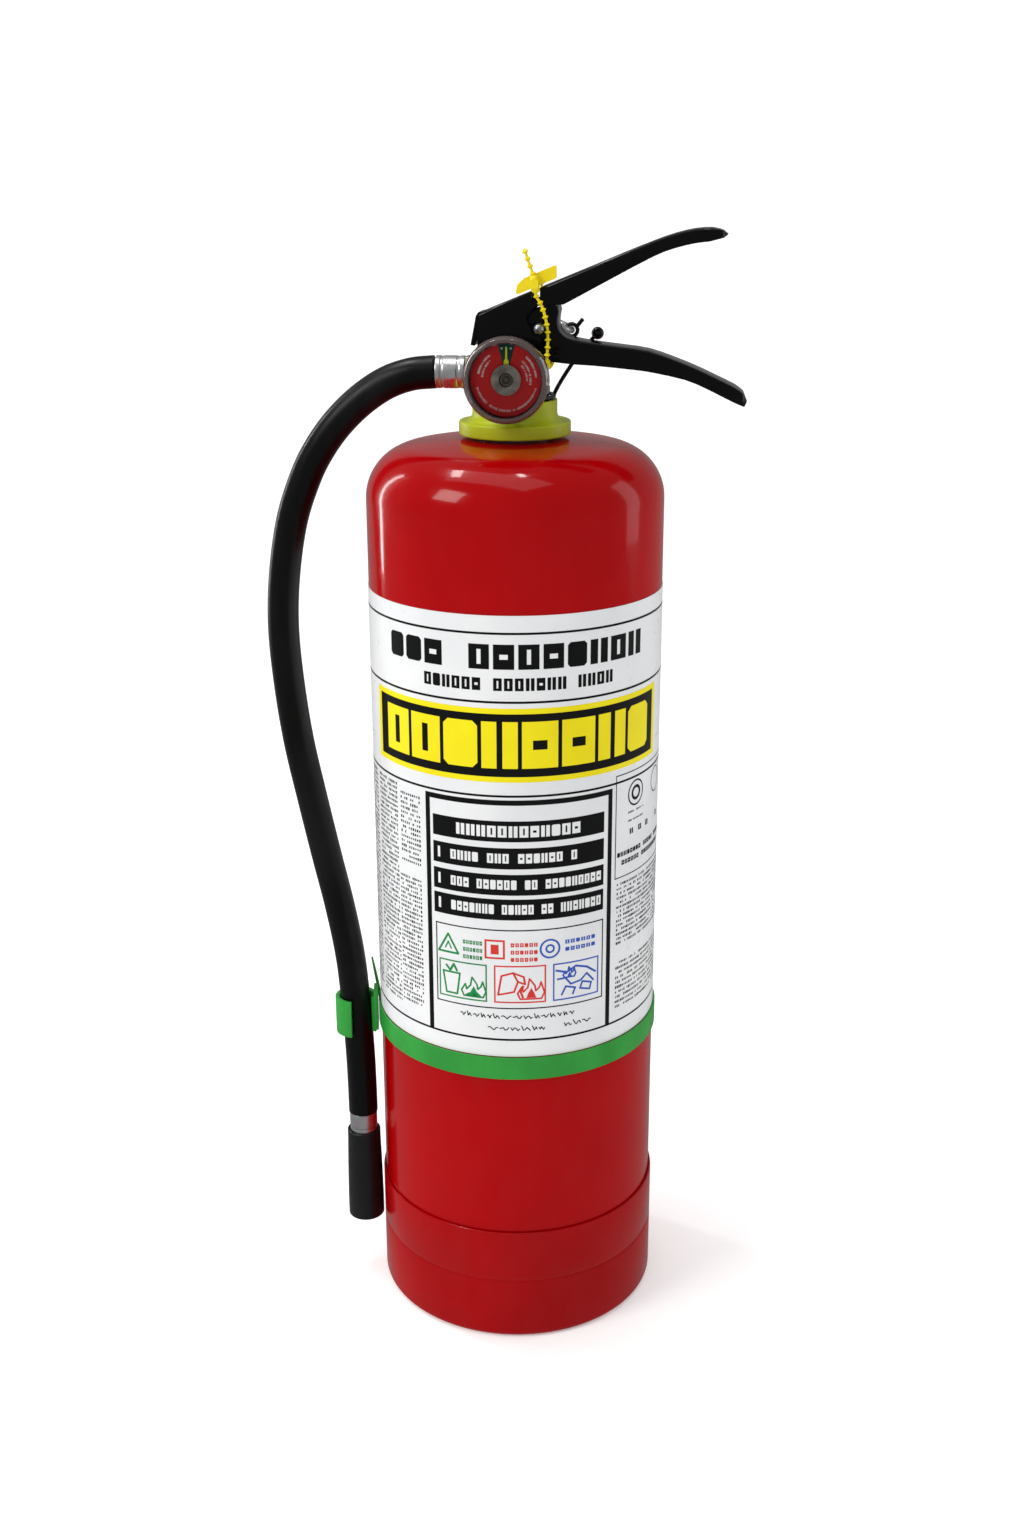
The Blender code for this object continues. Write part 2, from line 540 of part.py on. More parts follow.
def valve():
    """The valve body with its bores, and the pieces that work inside it."""
    flange_z = NECK_TOP_Z + 2 * (NECK_SEAL_R + GAP)
    thread_r = NECK_BORE_R - GAP
    body = turned("valve_body", [(0, 455 * MM + LIFT), (11 * MM, 455 * MM + LIFT), (11 * MM, flange_z + 3.5 * MM),
                                 (VALVE_FLANGE_R, flange_z + 3.5 * MM), (VALVE_FLANGE_R, flange_z),
                                 (thread_r, flange_z), (thread_r, VALVE_BOTTOM_Z), (0, VALVE_BOTTOM_Z)],
                  NICKEL_BRASS, closed=False)
    (rear, fore), slope_z = BLOCK_X, PIVOT[1] + REAR_HEIGHT
    foot_z = 447 * MM + LIFT
    side = [(rear, foot_z), (fore, foot_z), (fore, BLOCK_TOP_Z), (rear + REAR_SLOPE[0], BLOCK_TOP_Z),
            (rear, slope_z)]
    block = prism("block", side, -BLOCK_HALF_Y, BLOCK_HALF_Y)
    join(body, round_along(block, side, 0.8 * MM, 1))
    at_port = (0, 0, PORT_Z)
    join(body, rod("gauge_boss", GAUGE_BOSS[0], 0, GAUGE_BOSS[1], None, at_port, TO_FRONT))
    join(body, rod("outlet_boss", OUTLET_BOSS[0], 0, OUTLET_BOSS[1], None, at_port, TO_OUTLET))
    guide_r = STEM_R + 0.4 * MM
    groove = 0.9 * MM + GAP
    bore = [(0, BLOCK_TOP_Z + 1 * MM), (guide_r, BLOCK_TOP_Z + 1 * MM), (guide_r, STEM_SEAL_Z + groove),
            (guide_r + 1.6 * MM, STEM_SEAL_Z + groove), (guide_r + 1.6 * MM, STEM_SEAL_Z - groove),
            (guide_r, STEM_SEAL_Z - groove), (guide_r, 457 * MM + LIFT), (PORT_BORE_R, 456 * MM + LIFT),
            (PORT_BORE_R, SEAT_Z),
            (CHAMBER_R, SEAT_Z), (CHAMBER_R, VALVE_BOTTOM_Z - 1 * MM), (0, VALVE_BOTTOM_Z - 1 * MM)]
    cut(body, turned("stem_bore", bore, closed=False, steps=24))
    cut(body, rod("gauge_bore", GAUGE_STEM_R + GAP, 2 * MM, GAUGE_BOSS[1] + 1 * MM, None, at_port, TO_FRONT))
    cut(body, rod("outlet_bore", PORT_BORE_R + 0.5 * MM, 2 * MM, OUTLET_BOSS[1] + 1 * MM, None, at_port, TO_OUTLET))
    rivets = (("lever_rivet_hole", PIVOT, RIVET_R), ("handle_rivet_hole", HANDLE_RIVET, HANDLE_RIVET_R))
    for name, (x, z), r in rivets:
        cut(body, rod(name, r + GAP, -20 * MM, 20 * MM, None, (x, 0, z), TO_FRONT, steps=16))

    poppet_z = SEAT_Z - 2.1 * MM
    turned("valve_stem", [(0, STEM_TOP_Z), (1.3 * MM, STEM_TOP_Z - 0.35 * MM), (2.1 * MM, STEM_TOP_Z - 1.1 * MM),
                          (STEM_R, STEM_TOP_Z - 2.4 * MM), (STEM_R, poppet_z), (CHAMBER_R - 0.8 * MM, poppet_z),
                          (CHAMBER_R - 0.8 * MM, poppet_z - 1.8 * MM), (STEM_R, poppet_z - 1.8 * MM),
                          (STEM_R, 424 * MM + LIFT), (0, 424 * MM + LIFT)], STEEL, steps=20, closed=False)
    sleeve("seat_seal", CHAMBER_R - 1.0 * MM, STEM_R + GAP, poppet_z + GAP, SEAT_Z - GAP, SEAL_RUBBER, steps=20)
    seal_r = 0.9 * MM
    turned("stem_seal", arc((STEM_R + GAP + seal_r, STEM_SEAL_Z), seal_r - 0.05 * MM, 90, -270, 6)[:-1],
           SEAL_RUBBER, steps=20)

    low, high = 417.6 * MM + LIFT + GAP + SPRING_WIRE_R, poppet_z - 1.8 * MM - GAP - SPRING_WIRE_R
    turns, per = SPRING_TURNS, 12
    coil = [polar(SPRING_R, 2 * math.pi * i / per, low + (high - low) * i / (turns * per))
            for i in range(turns * per + 1)]
    link(wire_curve("valve_spring", coil, SPRING_WIRE_R, sides=1), STEEL)

    spigot_r = SIPHON_R - SIPHON_WALL - GAP
    sleeve_r, z = CHAMBER_R - GAP, VALVE_BOTTOM_Z
    turned("siphon_adapter", [(sleeve_r, z + 5.6 * MM), (sleeve_r, z), (spigot_r, z), (spigot_r, z - 8 * MM),
                              (3.4 * MM, z - 8 * MM), (3.4 * MM, z + 5.6 * MM)], BLACK_PLASTIC, steps=24)
    foot_z = BOTTOM_TANGENT_Z - BOTTOM_RISE + TANK_WALL + SIPHON_FOOT_GAP
    sleeve("siphon_tube", SIPHON_R, SIPHON_R - SIPHON_WALL, foot_z, VALVE_BOTTOM_Z - GAP, ALUMINIUM, steps=24)


def gauge():
    """The pressure gauge: stem, washer, case, dial, coil, pointer and clear cap, along -Y from the port."""
    at = (0, 0, PORT_Z)
    boss = GAUGE_BOSS[1]
    front, r = GAUGE_FRONT_Y, GAUGE_R
    case_back = front - CASE_DEPTH
    sleeve("gauge_washer", 6.0 * MM, GAUGE_STEM_R + GAP, boss + GAP, boss + GAP + WASHER, SEAL_RUBBER, at, TO_FRONT,
           steps=24)
    hex_low, hex_high = boss + 2 * GAP + WASHER, case_back - GAP
    stem = turned("gauge_stem", [(0, case_back + 2.2 * MM), (2.4 * MM, case_back + 2.2 * MM), (2.4 * MM, hex_high),
                                 (GAUGE_HEX_R, hex_high), (GAUGE_HEX_R, hex_low), (GAUGE_STEM_R, hex_low),
                                 (GAUGE_STEM_R, 6 * MM), (0, 6 * MM)], NICKEL_BRASS, at, TO_FRONT, 6, closed=False)
    stem.rotation_euler.rotate_axis("Z", math.radians(30))
    case_r = r - LENS_WALL - GAP
    rim = front - 3.4 * MM
    turned("gauge_case", [(case_r, rim), (case_r, case_back + 1.5 * MM), (case_r - 1.5 * MM, case_back),
                          (2.7 * MM, case_back), (2.7 * MM, case_back + CASE_WALL),
                          (case_r - 1.6 * MM, case_back + CASE_WALL),
                          (case_r - CASE_WALL, case_back + 2.3 * MM), (case_r - CASE_WALL, rim)],
           CHROME, at, TO_FRONT, 40)
    dial_back = rim - 2.6 * MM
    sleeve("gauge_dial", case_r - CASE_WALL - GAP, 3.0 * MM, dial_back, dial_back + DIAL_THICK, DIAL_RED, at,
           TO_FRONT, 40)
    pointer_back = dial_back + DIAL_THICK + GAP
    coil_back = pointer_back + 0.4 * MM + GAP
    turned("bourdon_coil", [(0, coil_back + 1.2 * MM), (COIL_R - 0.4 * MM, coil_back + 1.2 * MM),
                            (COIL_R, coil_back + 0.8 * MM), (COIL_R, coil_back), (1.2 * MM, coil_back),
                            (1.2 * MM, case_back + 2.5 * MM), (0, case_back + 2.5 * MM)],
           NICKEL_BRASS, at, TO_FRONT, 32, closed=False)
    blade = [(-0.9 * MM, 2.0 * MM), (-1.1 * MM, COIL_R + 0.8 * MM), (-0.45 * MM, COIL_R + 2.4 * MM),
             (-0.35 * MM, POINTER_REACH), (0.35 * MM, POINTER_REACH), (0.45 * MM, COIL_R + 2.4 * MM),
             (1.1 * MM, COIL_R + 0.8 * MM), (0.9 * MM, 2.0 * MM)]
    hub = sleeve("gauge_pointer", 2.6 * MM, 1.2 * MM + GAP, pointer_back, pointer_back + 0.4 * MM, POINTER_YELLOW,
                 at, TO_FRONT, 24)
    tool = prism("blade", blade, -0.2 * MM, 0.2 * MM)
    tool.location = (0, -(pointer_back + 0.2 * MM), PORT_Z)
    join(hub, tool)
    skirt = front - 7.2 * MM
    turned("gauge_lens", [(0, front), (r - 1.6 * MM, front), (r - 0.5 * MM, front - 0.5 * MM), (r, front - 1.6 * MM),
                          (r, skirt), (r - LENS_WALL, skirt), (r - LENS_WALL, rim + GAP), (r - 2.9 * MM, rim + GAP),
                          (r - 2.9 * MM, front - 1.3 * MM), (0, front - 1.3 * MM)],
           CLEAR_PLASTIC, at, TO_FRONT, 48, closed=False)


# The levers ----------------------------------------------------------------------------------------

def plan(name, tip_x, half):
    """The outline that a lever is cut to from above: straight sides just clear of it, and a rounded tip."""
    c, clear = TIP_CORNER_R, 0.15 * MM
    half, end = half + clear, tip_x + clear
    outline = [(-40 * MM, -half), *arc((end - c, -half + c), c, -90, 0, 4), *arc((end - c, half - c), c, 0, 90, 4),
               (-40 * MM, half)]
    return prism(name, outline, 420 * MM + LIFT, 530 * MM + LIFT, upright=False)


def carry_handle():
    """The lower handle: a channel with its web on top, whose two ears hold the valve body."""
    top = smooth(at_head([(19.9, 477.4), (19.3, 474.0), (19.7, 470.6), (21.7, 467.6), (25.2, 466.0),
                              (34.9, 464.3), (47.9, 462.7), (58.5, 461.2), (69.7, 457.5), (78.5, 454.1),
                              (87.2, 450.2), (95.6, 446.2), (99.3, 443.6)]), 2)
    under = smooth(at_head([(91.8, 441.8), (83.0, 446.0), (74.3, 449.4), (61.1, 452.2), (52.4, 453.4),
                                (35.0, 455.0), (26.1, 455.5), (16.5, 456.5)]), 2)
    tip = [(HANDLE_TIP_X, 439.8 * MM + LIFT), (100.0 * MM, 437.9 * MM + LIFT)]
    pivot_x, pivot_z = PIVOT
    rear = BLOCK_X[0]
    ears = [*at_head([(9.5, 458.6)]), (pivot_x + 4.1 * MM, 458.6 * MM + LIFT), (pivot_x + 2.0 * MM, pivot_z - 4.4 * MM),
            (rear + 1 * MM, pivot_z - 4.4 * MM), (rear, pivot_z - 3.4 * MM), (rear, pivot_z + REAR_HEIGHT),
            (rear + REAR_SLOPE[0], pivot_z + REAR_HEIGHT + REAR_SLOPE[1]),
            *at_head([(-5.0, 473.6), (6.0, 477.3), (12.0, 478.8), (17.6, 479.9), (19.4, 479.4)])]
    holes = [hole(PIVOT, RIVET_R + GAP), hole(HANDLE_RIVET, HANDLE_RIVET_R + GAP), hole(PIN, PIN_R + GAP)]
    handle = prism("carry_handle", top + tip + under + ears, -EAR_OUTER_Y, EAR_OUTER_Y, BLACK_ENAMEL, holes=holes)
    round_along(handle, top + tip, 1.2 * MM)
    change(handle, plan("handle_plan", HANDLE_TIP_X, EAR_OUTER_Y), "INTERSECT")
    web = offset(top, SHEET)
    closed_tip = [(x, z) for x, z in web if x < HANDLE_TIP_X - 6 * MM]
    hollow = (at_head([(-30, 430), (-30, 490)]) + [(closed_tip[0][0], 490 * MM + LIFT)] + closed_tip
              + [(closed_tip[-1][0], 430 * MM + LIFT)])
    cut(handle, prism("handle_hollow", hollow, -EAR_INNER_Y, EAR_INNER_Y))
    x, z = HANDLE_RIVET
    rod("handle_rivet", HANDLE_RIVET_R, -EAR_OUTER_Y, EAR_OUTER_Y, STEEL, (x, 0, z), TO_FRONT, 16, 0.3 * MM)


def squeeze_lever():
    """The upper lever: a channel open below, shaped round the safety pin's whole path, on its rear rivet."""
    top = smooth(at_head([(-13.2, 477.2), (10.2, 486.6), (34.5, 496.3), (47.3, 501.5), (60.0, 506.4),
                              (68.3, 509.2), (76.7, 511.1), (84.0, 511.5), (88.6, 510.4)]), 2)
    nose = [(LEVER_TIP_X, 508.9 * MM + LIFT), (89.0 * MM, 507.6 * MM + LIFT)]
    under = smooth(at_head([(82.8, 506.1), (76.9, 505.4), (68.5, 503.4), (60.0, 500.2), (43.1, 491.5),
                                (25.9, 482.4), (22.1, 480.5)]), 2)
    px, pz = PIVOT
    pin_slot = at_head([(10.5, 479.9), (6.5, 475.6), (6.5, 473.6), (8.6, 469.8), (8.8, 467.6), (12.6, 467.0),
                            (12.6, 464.0), (-6.0, 464.0)])
    lobe = arc(PIVOT, 4.6 * MM, -10, -130, 4)
    rear = [(px - 3.4 * MM, pz), (px - 3.4 * MM, 474.6 * MM + LIFT)]
    behind = [p for p in top if p[0] < NOTCH_X[0]]
    ahead = [p for p in top if p[0] > NOTCH_X[1]]
    rise = (ahead[0][1] - behind[-1][1]) / (ahead[0][0] - behind[-1][0])
    low, high = (behind[-1][1] + (x - behind[-1][0]) * rise for x in NOTCH_X)
    behind.append((NOTCH_X[0], low))
    ahead.insert(0, (NOTCH_X[1], high))
    notch = [(NOTCH_X[0], low - NOTCH_DEPTH), (NOTCH_X[1], high - NOTCH_DEPTH)]
    side = behind + notch + ahead + nose + under + pin_slot + lobe + rear
    lever = prism("squeeze_lever", side, -LEVER_OUTER_Y, LEVER_OUTER_Y, BLACK_ENAMEL,
                  holes=[hole(PIVOT, RIVET_R + GAP)])
    round_along(lever, behind + ahead + nose, 1.2 * MM)
    tongue = at_head([(-13.4, 477.1), (-13.0, 474.8), (-16.6, 462.9), (-18.3, 463.2), (-15.9, 475.4),
                          (-14.9, 476.9)])
    join(lever, prism("tongue", tongue, -7.5 * MM, 7.5 * MM))
    change(lever, plan("lever_plan", LEVER_TIP_X, LEVER_OUTER_Y), "INTERSECT")
    web = [(x, z) for x, z in offset(top, SHEET) if x < 79 * MM]
    hollow = at_head([(-16.45, 440), (-16.45, 462.9), (-12.85, 474.8)]) + web[1:]
    hollow += [(web[-1][0], 440 * MM + LIFT)]
    cut(lever, prism("lever_hollow", hollow, -LEVER_INNER_Y, LEVER_INNER_Y))

    outside = LEVER_OUTER_Y + GAP
    head, thick = RIVET_HEAD_R, 1.2 * MM
    rivet = [(0, outside + thick), (head - 0.8 * MM, outside + thick), (head, outside + 0.4 * MM), (head, outside),
             (RIVET_R, outside)]
    turned("lever_rivet", rivet + [(r, -y) for r, y in reversed(rivet)], STEEL, (px, 0, pz), TO_FRONT, 20,
           closed=False)


# The safety pieces ---------------------------------------------------------------------------------

def safety_pin():
    """The pull pin with its ring, and the tether's eyelet on that ring."""
    x, z = PIN
    tip, far = PIN_Y
    profile = [(0, -tip), (PIN_R * 0.6, -tip - 0.4 * MM), (PIN_R, -tip - 1.6 * MM), (PIN_R, -far), (0, -far)]
    pin = turned("safety_pin", profile, STEEL, (x, 0, z), TO_FRONT, 20, closed=False)
    ring_y = far + RING_R - 0.6 * MM
    bpy.ops.mesh.primitive_torus_add(major_radius=RING_R, minor_radius=RING_WIRE_R, major_segments=28,
                                     minor_segments=8, location=(x, ring_y, z), rotation=(0, RING_TILT, 0))
    ring = bpy.context.object
    ring.name = "ring"
    for old in list(ring.users_collection):
        old.objects.unlink(ring)
    join(pin, link(ring))

    grip = TETHER_R + RING_WIRE_R + GAP
    centre = Vector((x + RING_R * math.cos(RING_TILT), ring_y, z - RING_R * math.sin(RING_TILT)))
    out = Vector((math.cos(RING_TILT), 0, -math.sin(RING_TILT)))
    up = Vector((math.sin(RING_TILT), 0, math.cos(RING_TILT)))
    loop = [centre + grip * (out * math.cos(a) + up * math.sin(a))
            for a in (2 * math.pi * i / 14 for i in range(14))]
    eyelet = wire("tether_eyelet", loop, TETHER_R, BLACK_PLASTIC, cyclic=True)
    join(eyelet, wire("stub", [centre + grip * (out * 0.6 + up * 0.8),
                               centre + grip * (out * 0.6 + up * 0.8) + Vector((2.8, 0, 3.4)) * MM], TETHER_R))


def tether():
    """The moulded tether: a ring that lies on the collar, a strap behind the handle, and a ball knob."""
    z = COLLAR_TOP_Z + GAP + 0.1 * MM + TETHER_R
    bpy.ops.mesh.primitive_torus_add(major_radius=TETHER_RING_R, minor_radius=TETHER_R, major_segments=32,
                                     minor_segments=8, location=(0, 0, z))
    ring = bpy.context.object
    ring.name = "pin_tether"
    for old in list(ring.users_collection):
        old.objects.unlink(ring)
    link(ring, BLACK_PLASTIC)
    [knob] = at_head([(35.2, 11.4, 467.0)])
    a = math.radians(15)
    bends = at_head([(18.6, 6.6, 445.0), (21.6, 9.6, 450.0), (26.0, 11.2, 456.5), (31.0, 11.4, 462.5)])
    strap = smooth([polar(TETHER_RING_R, a, z), *bends, knob], 2)
    join(ring, wire("strap", strap, TETHER_R))
    join(ring, ball("knob", BALL_R, knob))


def seal_tie():
    """The tamper seal: a tie looped round lever and handle through the notch, with its lock, tail and flag."""
    y = TIE_Y
    side = [(10.4, 488.4), (10.6, 484.5), (12.8, 480.6), (14.7, 475.0), (15.6, 469.3), (15.7, 463.8), (15.4, 458.6)]
    near = [(x * MM, -y, z * MM + LIFT) for x, z in side]
    far = [(a, y, c) for a, _, c in reversed(near)]
    low = [(15.2 * MM, -7.5 * MM, 454.6 * MM + LIFT), (15.2 * MM, 7.5 * MM, 454.6 * MM + LIFT)]
    over = [(10.4 * MM, 4.0 * MM, 489.6 * MM + LIFT), (10.4 * MM, -y + 2.5 * MM, 489.2 * MM + LIFT)]
    low_z, high_z = 487.0 * MM + LIFT, 491.0 * MM + LIFT
    lock = box("seal_tie", (7.9 * MM, -y - 2.2 * MM, low_z), (11.9 * MM, -y + 3.0 * MM, high_z), YELLOW_PLASTIC)
    bevel(lock, 0.6 * MM)
    start = (10.4 * MM, -y, 488.9 * MM + LIFT)
    join(lock, wire("tie_loop", smooth([start, *near[1:], *low, *far, *over], 2), TIE_R))
    tail = [(x, -y, z) for x, z in at_head([(10.2, 489.0), (8.2, 496.0), (6.0, 502.6)])]
    join(lock, wire("tie_tail", tail, TIE_R))
    flag = at_head([(1.6, 484.2), (19.2, 491.3), (19.2, 496.9), (5.4, 491.3), (3.2, 489.8), (1.9, 487.4)])
    join(lock, prism("flag", flag[::-1], -y + 1.6 * MM, -y + 2.4 * MM))


# The hose ------------------------------------------------------------------------------------------

def outlet():
    """The nipple screwed into the outlet, its washer and the ferrule crimped over it."""
    at = (0, 0, PORT_Z)
    face = OUTLET_BOSS[1]
    sleeve("outlet_washer", 6.2 * MM, PORT_BORE_R + GAP, face + GAP, face + GAP + WASHER, SEAL_RUBBER, at, TO_OUTLET,
           steps=24)
    nut = face + 2 * GAP + WASHER
    end = nut + NIPPLE_HEX
    barb_r = 3.8 * MM
    tip = end + FERRULE_LONG
    nipple = turned("outlet_nipple", [(barb_r, tip), (barb_r, end), (8.0 * MM, end), (8.0 * MM, nut),
                                      (PORT_BORE_R, nut), (PORT_BORE_R, 8 * MM), (NIPPLE_BORE_R, 8 * MM),
                                      (NIPPLE_BORE_R, tip)], STEEL, at, TO_OUTLET, 6)
    nipple.rotation_euler.rotate_axis("Z", math.radians(30))
    sleeve("upper_ferrule", FERRULE_R, barb_r + GAP, end + GAP, end + GAP + FERRULE_LONG - 0.2 * MM, ALUMINIUM, at,
           TO_OUTLET, 28, 0.4 * MM)


def hose():
    """The rubber hose, the ferrule at its lower end and the nozzle pushed over that."""
    link(wire_curve("hose", smooth(millimetres(HOSE_ROUTE), 2), HOSE_R, sides=3), BLACK_RUBBER)
    x, y = NOZZLE_AXIS
    at = (x, y, 0)
    socket_r = LOWER_FERRULE_R + GAP
    socket_z = NOZZLE_TOP_Z - SOCKET_DEPTH
    sleeve("lower_ferrule", LOWER_FERRULE_R, 3.4 * MM, socket_z + GAP, LOWER_FERRULE_TOP_Z, ALUMINIUM, at,
           steps=28, chamfer=0.4 * MM)
    top_r, r = NOZZLE_R - 0.7 * MM, NOZZLE_R
    turned("nozzle", [(top_r - 0.5 * MM, NOZZLE_TOP_Z), (top_r, NOZZLE_TOP_Z - 0.6 * MM), (top_r, 75 * MM),
                      (r - 0.3 * MM, 60 * MM), (r, 42 * MM), (r, NOZZLE_BOTTOM_Z + 0.8 * MM),
                      (r - 0.8 * MM, NOZZLE_BOTTOM_Z), (6.2 * MM, NOZZLE_BOTTOM_Z), (5.6 * MM, 44 * MM),
                      (3.4 * MM, 56 * MM), (3.4 * MM, socket_z), (socket_r, socket_z), (socket_r, NOZZLE_TOP_Z)],
           BLACK_PLASTIC, at, steps=28)


def hose_clip():
    """The open clip that holds the hose against the band, on a foot plate."""
    opening = (-93.0, -13.0)  # the open side, by angles from +X
    around = arc(CLIP_CENTRE, CLIP_R, opening[0], opening[1] - 360, 20)
    inside = arc(CLIP_CENTRE, CLIP_BORE_R, opening[1] - 360, opening[0], 20)
    clip = prism("hose_clip", inside + around, *CLIP_Z, GREEN_PLASTIC, upright=False)
    band_r = TANK_R + GAP + BAND_THICK
    angle = math.atan2(CLIP_CENTRE[1], CLIP_CENTRE[0])
    plate = box("clip_plate", (band_r + GAP, -5 * MM, CLIP_Z[0] + 1.5 * MM),
                (band_r + 2.2 * MM, 5 * MM, CLIP_Z[1] + 3.5 * MM))
    plate.rotation_euler = (0, 0, angle)
    join(clip, plate)


tank()
label_and_band()
neck_fittings()
valve()
gauge()
carry_handle()
squeeze_lever()
safety_pin()
tether()
seal_tie()
outlet()
hose()
hose_clip()



def carry(name, at, pieces, under=None):
    """An empty on a joint's axis, with the pieces that move with it; what is under it keeps its place."""
    empty = bpy.data.objects.new(name, None)
    PARTS.objects.link(empty)
    empty.location = at
    empty.parent = under
    empty.empty_display_size = 0.02
    for piece in pieces:
        piece.parent = empty
        if under is not None:
            piece.matrix_parent_inverse = Matrix.Translation(-Vector(at))
    return empty


JOINTS = {
    "lever_pivot": ((PIVOT[0], 0, PIVOT[1]), ["squeeze_lever", "seal_tie"]),
    "stem_axis": ((0, 0, SEAT_Z), ["valve_stem", "seat_seal"]),
    "pin_axis": ((PIN[0], 0, PIN[1]), ["safety_pin", "tether_eyelet"]),
    "pointer_axis": ((0, -GAUGE_FRONT_Y, PORT_Z), ["gauge_pointer"]),
    "collar_axis": ((0, 0, COLLAR_BOTTOM_Z), ["service_collar"]),
    "outlet_axis": ((-OUTLET_BOSS[1], 0, PORT_Z), ["upper_ferrule", "hose", "lower_ferrule", "nozzle"]),
}
moving = {name for _, names in JOINTS.values() for name in names}
fixed = [piece for piece in [*PARTS.objects, *CUTTERS.objects] if piece.name not in moving]
carrier = carry("extinguisher", (AXIS_X, 0, 0), fixed)
for joint, (place, names) in JOINTS.items():
    carry(joint, place, [bpy.data.objects[name] for name in names], carrier)
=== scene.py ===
"""The look of a 4.5 kg dry powder fire extinguisher, laid over its packed engineering model."""

import json
import logging
import math
import random
from dataclasses import dataclass, field
from enum import Enum
from typing import Callable, Mapping, Optional, Sequence, Union

import bmesh
import bpy
from bpy.types import ID, Material, Mesh, Node, NodeSocket, NodeTree, Object
from mathutils import Matrix, Vector

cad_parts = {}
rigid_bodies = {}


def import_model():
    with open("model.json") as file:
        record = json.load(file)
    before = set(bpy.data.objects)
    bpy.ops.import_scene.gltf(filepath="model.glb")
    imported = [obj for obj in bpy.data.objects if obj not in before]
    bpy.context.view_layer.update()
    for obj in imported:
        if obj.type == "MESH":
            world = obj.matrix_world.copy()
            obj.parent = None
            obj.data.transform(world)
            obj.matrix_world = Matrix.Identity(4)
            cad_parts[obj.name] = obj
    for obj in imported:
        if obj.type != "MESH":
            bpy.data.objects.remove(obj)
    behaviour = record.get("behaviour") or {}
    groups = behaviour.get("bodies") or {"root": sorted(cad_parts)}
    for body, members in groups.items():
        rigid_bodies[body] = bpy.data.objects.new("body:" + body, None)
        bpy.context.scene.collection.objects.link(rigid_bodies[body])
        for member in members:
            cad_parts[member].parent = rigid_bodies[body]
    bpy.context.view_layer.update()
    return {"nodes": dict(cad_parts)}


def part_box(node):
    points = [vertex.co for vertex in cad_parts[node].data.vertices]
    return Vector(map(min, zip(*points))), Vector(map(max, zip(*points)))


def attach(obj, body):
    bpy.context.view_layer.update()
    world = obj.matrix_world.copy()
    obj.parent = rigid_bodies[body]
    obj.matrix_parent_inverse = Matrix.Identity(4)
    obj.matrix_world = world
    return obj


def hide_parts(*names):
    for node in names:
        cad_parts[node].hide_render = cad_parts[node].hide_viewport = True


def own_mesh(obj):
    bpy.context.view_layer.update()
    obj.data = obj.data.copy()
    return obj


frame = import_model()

LOG = logging.getLogger("extinguisher")
MM = 0.001
AXIS_X = (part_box("tank_shell")[0][0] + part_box("tank_shell")[1][0]) / 2  # the tank's own axis, in metres
PORT_Z = 451.0  # the height of the gauge's and of the hose's axis, in mm

Point = Sequence[float]
Profile = list[tuple[float, float]]


# Small tools ---------------------------------------------------------------------------------------

def srgb(colour: str) -> tuple[float, float, float, float]:
    """Turns a hex colour as seen on a screen into the linear values that nodes want.

    Args:
        colour: six hex digits with or without a leading hash.

    Returns:
        Linear red, green and blue, with an alpha of 1.
    """
    digits = colour.lstrip("#")
    parts = [int(digits[i:i + 2], 16) / 255 for i in (0, 2, 4)]
    return (*(c / 12.92 if c <= 0.04045 else ((c + 0.055) / 1.055) ** 2.4 for c in parts), 1.0)


def add(tree: NodeTree, kind: str, inputs: Optional[dict] = None, **settings) -> Node:
    """Adds one node, with its settings, values and links.

    Args:
        tree: the shader or geometry tree that gets it.
        kind: the node's type name.
        inputs: what goes in each input, by its name or number: a value, an output, or a node for its first output.
        settings: the node's own properties.

    Returns:
        The new node.
    """
    node = tree.nodes.new(kind)
    for name, value in settings.items():
        setattr(node, name, value)
    for key, value in (inputs or {}).items():
        if isinstance(value, Node):
            value = value.outputs[0]
        if isinstance(value, NodeSocket):
            tree.links.new(value, node.inputs[key])
        else:
            node.inputs[key].default_value = value
    return node


def linked(name: str, data: ID) -> Object:
    """Makes an object of that data and puts it in the scene."""
    obj = bpy.data.objects.new(name, data)
    bpy.context.scene.collection.objects.link(obj)
    return obj


def arc(radius: float, start: float, end: float, step: float) -> list[tuple[float, float]]:
    """Points round a circle's centre, by their angles in degrees; both ends are included."""
    return [(radius * math.cos(a), radius * math.sin(a)) for a in
            (math.radians(start + (end - start) * i * step / abs(end - start))
             for i in range(round(abs(end - start) / step) + 1))]


def filleted(outline: Profile, radius: float, closed: bool = True, steps: int = 4) -> Profile:
    """Rounds the corners of an outline.

    Args:
        outline: its corners, in mm.
        radius: of each corner, less where a side is too short for it.
        closed: whether the last corner joins the first.
        steps: pieces in each rounded corner.

    Returns:
        The outline with its corners rounded.
    """
    result: Profile = []
    count = len(outline)
    for i, here in enumerate(outline):
        if not closed and i in (0, count - 1):
            result.append(here)
            continue
        p, a, b = Vector(here), Vector(outline[i - 1]), Vector(outline[(i + 1) % count])
        turn = (p - a).angle(b - p, 0.0)
        if turn < math.radians(8):
            result.append(here)
            continue
        back = min(radius * math.tan(turn / 2), 0.45 * (p - a).length, 0.45 * (b - p).length)
        start, end = p + (a - p).normalized() * back, p + (b - p).normalized() * back
        for k in range(steps + 1):
            t = k / steps
            q = start * (1 - t) ** 2 + p * 2 * t * (1 - t) + end * t * t
            result.append((q.x, q.y))
    return result


